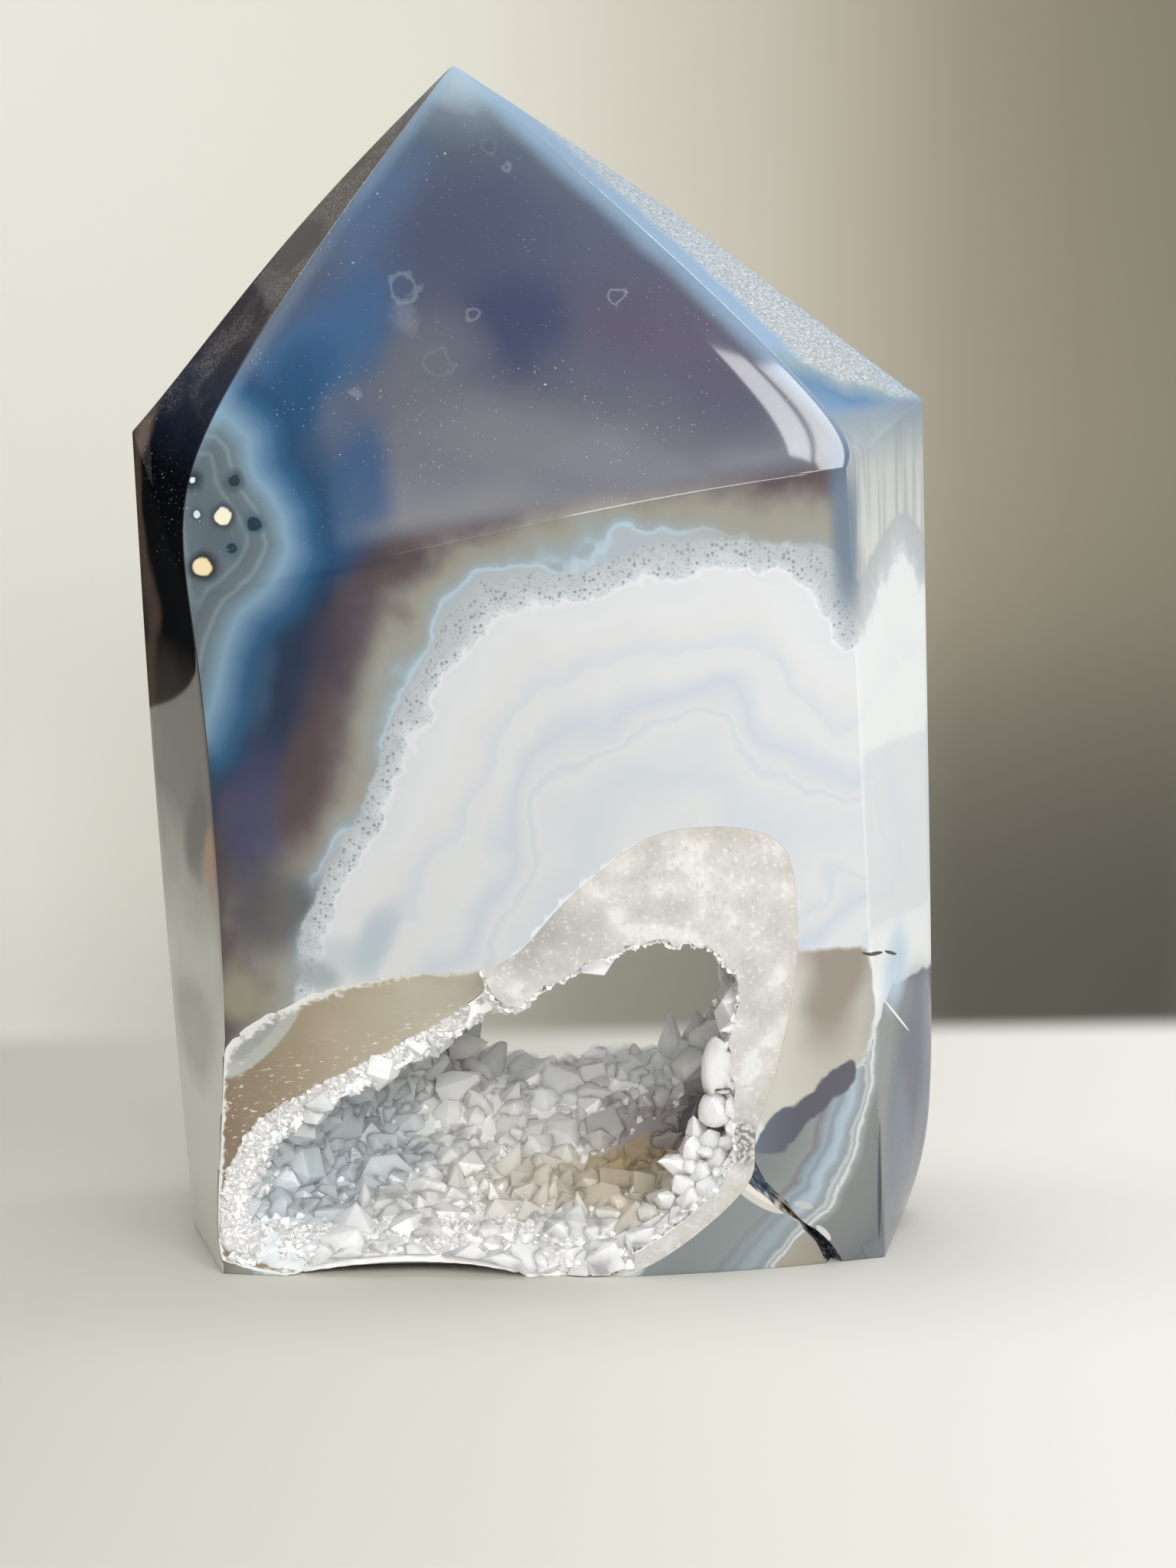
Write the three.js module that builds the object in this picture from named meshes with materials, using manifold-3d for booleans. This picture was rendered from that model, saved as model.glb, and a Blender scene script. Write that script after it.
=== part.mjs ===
// A polished agate tower with a druzy hollow: a slab-like point of banded agate that stands on
// its flat base, and the crust of quartz crystals that lines the hollow through its foot.
// Millimetres, +Z up, front towards -Y, origin at the centre of the base.
import * as THREE from "three";
import { mergeVertices } from "three/addons/utils/BufferGeometryUtils.js";
import Module from "manifold-3d";

const wasm = await Module();
wasm.setup();

// Driving dimensions.
const height = 150;
const halfWidth = 51.8;
const halfDepth = 26;
const apexX = -10.9;
const crownBulge = 1.8; // how far the facets of the point swell past flat
const crownFoot = 0.1; // share of the way up at which the point's first ring lies, where no ridge is given
const partingGap = 0.3; // between the stone and the crust
const crustFloor = 0.45; // the crust hangs this far clear of what the stone stands on
const outlineSteps = 2; // samples between two outline points of the hollow
const margin = 2; // how far cutting tools reach past the stone
const underside = -1; // height that cutting tools start from

// Upright edges and swellings of the side, anticlockwise seen from above. Each runs from the
// base to where the point begins; ridge is where its ridge of the point starts.
const columns = [
  { side: [[-45.8, 0.9, 0], [-48.2, 0.4, 32], [-50.4, 0, 68], [-halfWidth, 0, 104.3]] },
  {
    side: [[-41.2, -21.2, 0], [-40, -22.3, 30], [-41.7, -22.2, 68], [-44, -22, 85.6]],
    ridge: [-45.9, -16.6, 100],
  },
  { side: [[-20, -25.2, 0], [-20.1, -25.2, 90.3]] },
  { side: [[2, -halfDepth, 0], [4.5, -halfDepth, 96.1]] },
  { side: [[25, -24, 0], [25.5, -24.4, 99.5]] },
  { side: [[42.9, -19.2, 0], [36.7, -20.3, 100.6]], ridge: [38.5, -17.1, 104.5] },
  { side: [[48.1, 0, 0], [halfWidth, 0, 10.1], [51.6, 0, 30], [49.1, 0, 108.1]] },
  { side: [[42, 20.2, 0], [37.4, 21, 99]], ridge: [39.4, 17.2, 103.2] },
  { side: [[22, 24.8, 0], [23.5, 24.8, 97.6]] },
  { side: [[0, halfDepth, 0], [1, halfDepth, 95.4]] },
  { side: [[-21, 25, 0], [-21.5, 25, 93.5]] },
  { side: [[-41, 20.4, 0], [-42.4, 21.4, 91]], ridge: [-44.6, 16.4, 99.6] },
];
const sideLevels = [0, 10.1, 31, 68];
const crownShares = [0.42, 0.72]; // rings of the point, as a share of the way to the apex

// The hollow, as closed outlines [x, z] at depths y, all starting at the lower left corner and
// going round clockwise. outline is where the stone meets the druzy lining, and inner is the
// lining's inner face: a second outline, or else one thickness all round. The first outline lies
// in front of the stone. Its left half widens past the lining, so that between the first two
// depths the wall there is the sloping fracture that bares the stone above the hollow.
const hollow = [
  {
    y: -27.5,
    outline: [
      [-44, 2.2], [-49, 15], [-45.4, 28], [-45, 44], [-32.2, 44.7], [-17.9, 41.4], [-6.1, 40.6],
      [2.6, 49], [13.5, 56.4], [28.7, 55.2], [31.3, 44], [28.9, 28], [25.4, 17.5], [25, 12],
      [19.3, 5.9], [11.5, 0.6], [0, -2.5], [-20, -2.5], [-37.5, -0.8],
    ],
    inner: [
      [-46, 0.5], [-51, 15], [-47.4, 29], [-46, 47], [-32.8, 47], [-17, 44], [-6.8, 34.6],
      [0.6, 38.2], [9, 41.8], [17, 42], [22.4, 37.4], [20, 28], [22.2, 17.5], [20.5, 12],
      [15.5, 8.2], [8, 4.8], [0, 3.4], [-20, 3.6], [-35, 2.6],
    ],
  },
  {
    y: -18,
    outline: [
      [-41, 2.4], [-41.4, 6.5], [-40.6, 12], [-36.5, 18.8], [-29.5, 22.9], [-17, 29.2], [-6.4, 36.4],
      [3, 48], [14, 55.8], [27.8, 54], [30.5, 44], [29, 28], [26.4, 18.5], [25.5, 12],
      [19.5, 6], [11.5, 2.4], [0, 1.8], [-20, 1.8], [-37, 1.8],
    ],
    inner: [
      [-38.6, 4.4], [-38.9, 7], [-37.9, 11], [-34.6, 16], [-28.2, 20.4], [-16, 26.8], [-6, 33.6],
      [1.5, 39], [9.5, 43.5], [18, 43.5], [23.5, 38.5], [22.5, 28], [23.6, 18.5], [21.8, 12.5],
      [17, 8.4], [9.5, 5.4], [0, 4.6], [-20, 4.6], [-34, 4.2],
    ],
  },
  {
    y: -6,
    outline: [
      [-36, 3.4], [-37, 7.5], [-35, 13.5], [-30.5, 20.5], [-24, 26.5], [-14.5, 33], [-5, 40],
      [3.5, 47], [14, 52], [25.5, 50], [30.5, 42], [31, 30], [30.5, 20], [28, 12.5],
      [21, 6.5], [12, 3.8], [0, 3], [-18, 2.8], [-31, 2.6],
    ],
    inner: 3.4,
  },
  {
    y: 8,
    outline: [
      [-24, 8], [-25.5, 12], [-24.5, 17], [-21.5, 22.5], [-17, 27.5], [-10, 33], [-2.5, 38.5],
      [5, 43.5], [14, 46.5], [24, 44.5], [29.5, 38], [31, 30], [30.5, 22], [27, 15.5],
      [20.5, 10.5], [12, 8], [1, 7.2], [-11, 6.6], [-19.5, 6.6],
    ],
    inner: 3.2,
  },
  {
    y: 18,
    outline: [
      [-15, 14], [-16, 17.5], [-15, 21.5], [-12.5, 25.5], [-9, 29], [-4, 33], [2, 36.6],
      [8, 39.4], [15, 40.6], [22.5, 39.4], [28, 35], [30, 29], [29, 23], [25.5, 18],
      [19.5, 14], [12, 12.2], [3.5, 11.6], [-5, 11.4], [-11, 12],
    ],
    inner: 2.8,
  },
  {
    y: 27.5,
    outline: [
      [-13, 17], [-13.5, 20], [-12.5, 23.5], [-10, 27], [-7, 30], [-2.5, 33.5], [3, 36.5],
      [9, 38.6], [15.5, 39.4], [22.5, 38.4], [27.5, 35], [29.8, 30], [29.5, 24.5], [26.5, 19.5],
      [21, 16], [14, 14], [6, 13.2], [-2, 13.2], [-8.5, 14.4],
    ],
    inner: 2.6,
  },
];
// Depths between which the lining's broken lip stands, at the left of the front, and how many of
// the front outline's points, from the first, lie on it.
const lipDepth = [-18.7, -17.6];
const lipPoints = 6;

// The arch under the front lip, where the foot of the crust was never filled.
const archLeft = -29.5;
const archRight = -5.5;
const archRise = 3.1;
const archDepth = 10.5;
const archShoulder = 0.14; // share of its width over which it rises at each end
const archSliver = 0.02; // share of its rise left at its very ends

// The crack that runs from the hollow's lower right corner down to the base.
const crackPath = [[23.4, 16.2], [26.2, 13.2], [29.6, 8.6], [32.8, 5], [35.2, 1.8], [36, -1]];
const crackWidth = [1.1, 2, 1.6, 1.3, 1.7, 1.9];
const crackDepth = 3.2;
const crackFace = -20; // depth of the stone's front along the crack
const crackTilt = 1.5; // how many times wider across than upright the crack is drawn

// Crystals of the crust.
const crystalRings = 9;
const crystalsPerRing = 14;
const crystalRadius = [2, 3.8];
const crystalRise = [2, 3.8];
const crystalSides = 6;
const crystalShoulder = 0.6; // where a crystal's point begins, as a share of its height
const crystalTip = 0.2; // how far aside its tip stands, as a share of its radius
const crystalSink = 1.6;
const crystalLean = 0.5;
const crystalStray = 2; // to the front or back
const crystalShift = 0.4; // round the ring, as a share of the gap to the next

// Seeded random numbers, so that every build is the same.
let seed = 20;
function random() {
  seed = (seed * 1664525 + 1013904223) % 4294967296;
  return seed / 4294967296;
}

function between([low, high], share) {
  return low + (high - low) * share;
}

function mixPoints(a, b, share) {
  return a.map((v, axis) => between([v, b[axis]], share));
}

// A solid for cutting and joining, from a closed geometry.
function solidOf(geometry) {
  const bare = new THREE.BufferGeometry();
  bare.setAttribute("position", geometry.getAttribute("position").clone());
  bare.setIndex(geometry.index);
  const merged = mergeVertices(bare, 1e-4);
  const mesh = new wasm.Mesh({
    numProp: 3,
    vertProperties: merged.attributes.position.array,
    triVerts: new Uint32Array(merged.index.array),
  });
  return new wasm.Manifold(mesh);
}

function geometryOf(solid) {
  const mesh = solid.getMesh();
  const geometry = new THREE.BufferGeometry();
  geometry.setAttribute("position", new THREE.BufferAttribute(mesh.vertProperties, 3));
  geometry.setIndex(new THREE.BufferAttribute(mesh.triVerts, 1));
  geometry.computeVertexNormals();
  return geometry;
}

// A closed skin over rings of points, each with the same count. Each four-sided patch is split
// where that leaves it swelling outwards. Both ends close in a fan: over the last ring to the
// tip where one is given, else to the middle of the ring.
function skinOver(rings, tip) {
  const count = rings[0].length;
  const middle = (ring) => [0, 1, 2].map((axis) => ring.reduce((sum, p) => sum + p[axis], 0) / count);
  const points = [...rings.flat(), middle(rings[0]), tip ?? middle(rings.at(-1))];
  const core = new THREE.Vector3(...middle([...rings.flat()].map((p) => p.map((v) => v / rings.length))));
  const reach = (a, b) =>
    new THREE.Vector3(...points[a]).add(new THREE.Vector3(...points[b])).multiplyScalar(0.5).distanceTo(core);
  const last = (rings.length - 1) * count;
  const faces = [];
  for (let i = 0; i < count; i++) {
    const next = (i + 1) % count;
    for (let a = i, b = next; a < last; a += count, b += count) {
      if (reach(a, b + count) > reach(b, a + count)) {
        faces.push(a, b, b + count, a, b + count, a + count);
      } else {
        faces.push(a, b, a + count, b, b + count, a + count);
      }
    }
    faces.push(next, i, points.length - 2);
    faces.push(last + i, last + next, points.length - 1);
  }
  const geometry = new THREE.BufferGeometry();
  geometry.setAttribute("position", new THREE.Float32BufferAttribute(points.flat(), 3));
  geometry.setIndex(faces);
  return geometry;
}

// The polished stone before the hollow is cut: its sides, its shoulders and its point.
function stoneBlank() {
  const apex = new THREE.Vector3(apexX, 0, height);
  const atLevel = (side, z) => {
    const k = Math.max(1, side.findIndex((p) => p[2] >= z));
    const share = (z - side[k - 1][2]) / (side[k][2] - side[k - 1][2]);
    return mixPoints(side[k - 1], side[k], share);
  };
  const rings = sideLevels.map((z) => columns.map(({ side }) => atLevel(side, z)));
  rings.push(columns.map(({ side }) => side.at(-1)));
  const start = columns.map(({ side, ridge }) => {
    const shoulder = new THREE.Vector3(...side.at(-1));
    return ridge ? new THREE.Vector3(...ridge) : shoulder.lerp(apex, crownFoot);
  });
  rings.push(start.map((p) => p.toArray()));
  for (const share of crownShares) {
    const swell = crownBulge * 4 * share * (1 - share);
    rings.push(
      start.map((p) => {
        const outward = new THREE.Vector3(p.x - apexX, p.y * 2, 0).normalize();
        return p.clone().lerp(apex, share).addScaledVector(outward, swell).toArray();
      }),
    );
  }
  return solidOf(skinOver(rings, apex.toArray()));
}

// A closed curve through outline points at depth y, moved inwards by a thickness.
function wallRing(y, outline, thickness) {
  const corners = outline.map(([x, z]) => new THREE.Vector3(x, y, z));
  const curve = new THREE.CatmullRomCurve3(corners, true, "centripetal");
  const samples = outline.length * outlineSteps;
  const points = [];
  for (let i = 0; i < samples; i++) {
    const along = curve.getTangent(i / samples);
    const { x, z } = curve.getPoint(i / samples);
    points.push([x + along.z * thickness, y, z - along.x * thickness]);
  }
  return points;
}

const cavity = solidOf(skinOver(hollow.map(({ y, outline }) => wallRing(y, outline, 0))));
const liningRings = hollow.map(({ y, outline }) => wallRing(y, outline, partingGap));
const liningOutside = solidOf(skinOver(liningRings));

// The lining's inner face, as rings from the front to the back.
const [front, lipStation] = hollow;
const lipShare = (lipDepth[0] - front.y) / (lipStation.y - front.y);
const widened = front.inner.map((p, i) => (i < lipPoints ? p : mixPoints(p, lipStation.inner[i], lipShare)));
const innerRings = [
  wallRing(front.y, front.inner, 0),
  wallRing(lipDepth[0], widened, 0),
  wallRing(lipDepth[1], lipStation.inner, 0),
  ...hollow.slice(2).map(({ y, outline, inner }) => wallRing(y, outline, inner)),
];
const liningInside = solidOf(skinOver(innerRings));

// A box between two corners.
function boxBetween(low, high) {
  const geometry = new THREE.BoxGeometry(high[0] - low[0], high[1] - low[1], high[2] - low[2]);
  geometry.translate((low[0] + high[0]) / 2, (low[1] + high[1]) / 2, (low[2] + high[2]) / 2);
  return solidOf(geometry);
}

// A wedge under the front lip: open at the front, running out at the base behind.
function archWedge() {
  const face = -halfDepth - margin;
  const profile = [[face, underside], [-halfDepth + archDepth, underside], [face, archRise]];
  const ring = (x, lift) => profile.map(([y, z]) => [x, y, z > 0 ? z * lift : z]);
  const inset = (archRight - archLeft) * archShoulder;
  const rings = [
    ring(archLeft, archSliver),
    ring(archLeft + inset, 1),
    ring(archRight - inset, 1),
    ring(archRight, archSliver),
  ];
  return solidOf(skinOver(rings));
}

// The crack as a narrow slot cut into the front face.
function crackSlot() {
  const edge = (side) =>
    crackPath.map(([x, z], i) => {
      const aside = (side * crackWidth[i]) / 2;
      return new THREE.Vector2(x + aside, z + aside / crackTilt);
    });
  const shape = new THREE.Shape([...edge(-1), ...edge(1).reverse()]);
  const geometry = new THREE.ExtrudeGeometry(shape, { depth: halfDepth, bevelEnabled: false });
  geometry.rotateX(Math.PI / 2);
  geometry.translate(0, crackFace + crackDepth, 0);
  return solidOf(geometry);
}

// One quartz crystal: a six-sided prism sunk in the crust, with a six-sided point.
function crystalAt(base, outward, radius, rise) {
  const tall = rise + crystalSink;
  const rings = [0, crystalShoulder].map((level) => {
    const ring = [];
    for (let k = 0; k < crystalSides; k++) {
      const angle = (k * 2 * Math.PI) / crystalSides;
      ring.push([Math.cos(angle) * radius, Math.sin(angle) * radius, level * tall]);
    }
    return ring;
  });
  const geometry = skinOver(rings, [radius * crystalTip, 0, tall]);
  geometry.rotateZ(random() * Math.PI);
  const turn = new THREE.Quaternion().setFromUnitVectors(new THREE.Vector3(0, 0, 1), outward);
  geometry.applyQuaternion(turn);
  const foot = base.clone().addScaledVector(outward, -crystalSink);
  geometry.translate(foot.x, foot.y, foot.z);
  return solidOf(geometry);
}

// The open space of the hollow: all inside the lining but the druzy points, which stand on the
// lining's inner face, evenly spaced round it, and lean towards the front.
function openSpace() {
  const walls = innerRings.slice(2).map((ring) => ring.map((p) => new THREE.Vector3(...p)));
  let space = liningInside;
  for (let r = 0; r < crystalRings; r++) {
    const depth = ((r + 0.5) / crystalRings) * (walls.length - 1);
    const k = Math.floor(depth);
    const at = walls[k].map((p, i) => p.clone().lerp(walls[k + 1][i], depth - k));
    const round = new THREE.CurvePath();
    at.forEach((p, i) => round.add(new THREE.LineCurve3(p, at[(i + 1) % at.length])));
    for (let c = 0; c < crystalsPerRing; c++) {
      const share = ((c + (r % 2) / 2 + random() * crystalShift) / crystalsPerRing) % 1;
      const foot = round.getPointAt(share);
      const along = round.getTangentAt(share);
      const behind = walls[k + 1][0].clone().sub(walls[k][0]);
      const outward = new THREE.Vector3(0, 1, 0).cross(along).normalize();
      outward.x += (random() - 0.5) * crystalLean;
      outward.y -= random() * crystalLean;
      outward.z += (random() - 0.5) * crystalLean;
      outward.normalize();
      foot.addScaledVector(behind.normalize(), (random() - 0.5) * crystalStray);
      const size = random();
      const crystal = crystalAt(foot, outward, between(crystalRadius, size), between(crystalRise, size));
      space = space.subtract(crystal);
    }
  }
  return space;
}

const blank = stoneBlank();
const arch = archWedge();
const above = boxBetween(
  [-halfWidth - margin, -halfDepth - margin, crustFloor],
  [halfWidth + margin, halfDepth + margin, height],
);
const room = blank.intersect(liningOutside).intersect(above).subtract(arch);
const crust = room.subtract(openSpace());
const stone = blank.subtract(cavity).subtract(arch).subtract(crackSlot());

function largestBody(solid) {
  return solid.decompose().reduce((best, body) => (body.volume() > best.volume() ? body : best));
}

const polishedAgate = new THREE.MeshStandardMaterial({
  color: 0x6f7f90,
  roughness: 0.12,
  metalness: 0,
});
const druzyQuartz = new THREE.MeshStandardMaterial({
  color: 0xe4e2dc,
  roughness: 0.3,
  metalness: 0,
  flatShading: true,
});

const tower = new THREE.Group();
const sculpted = [
  ["agate_tower", stone, polishedAgate],
  ["druzy_crust", crust, druzyQuartz],
];
for (const [name, solid, material] of sculpted) {
  const mesh = new THREE.Mesh(geometryOf(largestBody(solid)), material);
  mesh.name = name;
  tower.add(mesh);
}

export default tower;
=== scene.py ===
# A polished agate tower with a druzy hollow, dressed round its solids. Metres, +Z up, front towards -Y.
import bpy
import bmesh
import math
import numpy as np
from mathutils import Matrix, Vector, noise
from mathutils.bvhtree import BVHTree


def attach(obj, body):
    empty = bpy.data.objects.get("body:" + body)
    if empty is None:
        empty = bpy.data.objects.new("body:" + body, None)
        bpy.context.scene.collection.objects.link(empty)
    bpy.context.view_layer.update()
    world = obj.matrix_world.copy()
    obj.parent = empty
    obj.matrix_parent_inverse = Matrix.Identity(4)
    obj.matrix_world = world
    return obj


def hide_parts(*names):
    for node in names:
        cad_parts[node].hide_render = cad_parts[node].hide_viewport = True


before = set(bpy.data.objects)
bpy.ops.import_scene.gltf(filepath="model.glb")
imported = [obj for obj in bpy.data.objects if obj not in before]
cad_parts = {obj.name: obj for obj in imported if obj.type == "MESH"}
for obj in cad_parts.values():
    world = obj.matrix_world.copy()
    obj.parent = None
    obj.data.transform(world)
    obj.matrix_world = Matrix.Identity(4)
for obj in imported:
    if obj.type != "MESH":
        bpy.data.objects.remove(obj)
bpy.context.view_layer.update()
mm = 0.001
deg = math.pi / 180

view = {
    "place": (-21.49, -451.32, 130.07),  # mm, where the photograph was taken from
    "turn": -3.5,
    "down": 9.0,
    "lens": 81,  # mm of focal length over a 36 mm tall sensor
    "sensor": 36,
}


def addCamera():
    bpy.ops.object.camera_add(location=Vector(view["place"]) * mm)
    camera = bpy.context.object
    camera.name = "camera"
    camera.rotation_euler = ((90 - view["down"]) * deg, 0, view["turn"] * deg)
    camera.data.lens = view["lens"]
    camera.data.sensor_fit = "VERTICAL"
    camera.data.sensor_width = camera.data.sensor_height = view["sensor"]
    bpy.context.scene.camera = camera


bpy.ops.object.select_all(action="DESELECT")
addCamera()
print("camera placed")


def closedCurve(corners, steps):  # a smooth closed line through the corners, with steps points to each corner
    corners = np.array(corners, float)
    line = []
    for i in range(len(corners)):
        a, b, c, d = (corners[(i + k) % len(corners)] for k in (-1, 0, 1, 2))
        ta, tb, tc = (max(np.linalg.norm(q - p) ** 0.5, 1e-4) for p, q in ((a, b), (b, c), (c, d)))
        leave = ((b - a) / ta - (c - a) / (ta + tb) + (c - b) / tb) * tb
        arrive = ((c - b) / tb - (d - b) / (tb + tc) + (d - c) / tc) * tb
        for t in np.arange(steps) / steps:
            ease = t * t * (3 - 2 * t)
            line.append(b + (c - b) * ease + leave * (t - 2 * t * t + t**3) + arrive * (t**3 - t * t))
    return np.array(line)


def inset(line, thickness):  # moves a clockwise closed line of [x, z] inwards
    along = np.roll(line, -1, 0) - np.roll(line, 1, 0)
    along /= np.linalg.norm(along, axis=1)[:, None]
    return line + np.stack([along[:, 1], -along[:, 0]], 1) * thickness


def loft(name, rings, tip=None):  # a disc of points drawn out ring by ring, in mm, closed at both ends
    bpy.ops.object.select_all(action="DESELECT")
    bpy.ops.mesh.primitive_circle_add(vertices=len(rings[0]), fill_type="NGON")
    piece = bpy.context.object
    piece.name = name
    piece.data.vertices.foreach_set("co", np.array(rings[0], float).ravel() * mm)
    bpy.ops.object.mode_set(mode="EDIT")
    for ring in rings[1:] + ([[tip] * len(rings[0])] if tip is not None else []):
        bpy.ops.mesh.extrude_region_move()
        top = [v for v in bmesh.from_edit_mesh(piece.data).verts if v.select]
        for corner, place in zip(top, ring):
            corner.co = Vector(place) * mm
    if tip is not None:
        bpy.ops.mesh.merge(type="CENTER")
    bpy.ops.mesh.select_all(action="SELECT")
    bpy.ops.mesh.normals_make_consistent(inside=False)
    bpy.ops.object.mode_set(mode="OBJECT")
    return piece


def finish(piece, kind, **settings):  # a modifier, applied
    bpy.ops.object.select_all(action="DESELECT")
    bpy.context.view_layer.objects.active = piece
    piece.select_set(True)
    modifier = piece.modifiers.new(kind.lower(), kind)
    for name, value in settings.items():
        setattr(modifier, name, value)
    bpy.ops.object.modifier_apply(modifier=modifier.name)
    return piece


def carve(piece, tool, operation="DIFFERENCE"):
    return finish(piece, "BOOLEAN", object=tool, operation=operation, solver="MANIFOLD")


def copyOf(piece, name):
    twin = piece.copy()
    twin.data = piece.data.copy()
    twin.name = name
    bpy.context.collection.objects.link(twin)
    return twin


tower = {
    "apex": (-10.9, 0, 150),
    "crownBulge": 1.8,  # mm that the facets of the point swell past flat
    "crownFoot": 0.1,  # where the point's first ring lies, as a share of the way from shoulder to tip
    "crownShares": (0.42, 0.72),  # where its further rings lie, as shares of the way from there to the tip
    "levels": (0, 10.1, 31, 68),  # mm up, where the side's rings lie
    "drawnIn": 1.02,  # the smoothing draws the faces in by this much
    "smoothing": 4,
    "ridgeAngle": 9,  # degrees between two faces, from where on their edge is a ridge
    "ridgeWidth": 0.9,  # mm of rounding that the polishing left on each ridge
}
# Upright edges of the side, anticlockwise from above, each [x, y, z] from the base to where the point begins.
# ridge is where its ridge of the point starts.
columns = [
    {"side": [(-45.8, 0.9, 0), (-48.2, 0.4, 32), (-50.4, 0, 68), (-51.8, 0, 104.3)], "edge": True},
    {"side": [(-41.2, -21.2, 0), (-40, -22.3, 30), (-41.7, -22.2, 68), (-44, -22, 85.6)],
     "ridge": (-45.9, -16.6, 100)},
    {"side": [(-20, -25.2, 0), (-20.1, -25.2, 90.3)]},
    {"side": [(2, -26, 0), (4.5, -26, 96.1)]},
    {"side": [(25, -24, 0), (25.5, -24.4, 99.5)]},
    {"side": [(42.9, -19.2, 0), (36.7, -20.3, 100.6)], "ridge": (38.5, -17.1, 104.5)},
    {"side": [(48.1, 0, 0), (51.8, 0, 10.1), (51.6, 0, 30), (49.1, 0, 108.1)], "edge": True},
    {"side": [(42, 20.2, 0), (37.4, 21, 99)], "ridge": (39.4, 17.2, 103.2)},
    {"side": [(22, 24.8, 0), (23.5, 24.8, 97.6)]},
    {"side": [(0, 26, 0), (1, 26, 95.4)]},
    {"side": [(-21, 25, 0), (-21.5, 25, 93.5)]},
    {"side": [(-41, 20.4, 0), (-42.4, 21.4, 91)], "ridge": (-44.6, 16.4, 99.6)},
]


def atLevel(side, z):
    heights = [p[2] for p in side]
    return [float(np.interp(z, heights, [p[axis] for p in side])) for axis in range(3)]


def stoneBlank():
    apex = np.array(tower["apex"], float)
    isRidge = ["edge" in c or "ridge" in c for c in columns]
    rings = [[atLevel(c["side"], z) for c in columns] for z in tower["levels"]]
    rings.append([list(c["side"][-1]) for c in columns])
    foot = tower["crownFoot"]
    start = [c.get("ridge", np.array(c["side"][-1]) * (1 - foot) + apex * foot) for c in columns]
    start = [np.array(p, float) for p in start]
    rings.append(start)
    for share in tower["crownShares"]:
        swell = tower["crownBulge"] * 4 * share * (1 - share)
        ring = []
        for p in start:
            outward = np.array([p[0] - apex[0], p[1] * 2, 0])
            outward /= np.linalg.norm(outward)
            ring.append(p + (apex - p) * share + outward * swell)
        rings.append(ring)
    for ring in rings:
        for p, ridge in zip(ring, isRidge):
            if not ridge:
                p[1] *= tower["drawnIn"]
    blank = loft("agate", rings, apex)
    bpy.ops.object.mode_set(mode="EDIT")
    bpy.ops.mesh.select_all(action="DESELECT")
    cage = bmesh.from_edit_mesh(blank.data)
    count, shoulder = len(columns), len(tower["levels"])
    for edge in cage.edges:
        a, b = sorted(v.index for v in edge.verts)
        ringA, ringB, column = a // count, b // count, a % count
        level = ringA == ringB
        edge.select = (level and ringA in (0, shoulder)) or (not level and isRidge[column])
    bpy.ops.transform.edge_crease(value=1)
    bpy.ops.object.mode_set(mode="OBJECT")
    smoothing = tower["smoothing"]
    finish(blank, "SUBSURF", levels=smoothing, render_levels=smoothing, use_limit_surface=False)
    finish(blank, "BEVEL", width=tower["ridgeWidth"] * mm, segments=3, limit_method="ANGLE",
           angle_limit=tower["ridgeAngle"] * deg, loop_slide=False)
    return blank


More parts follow.
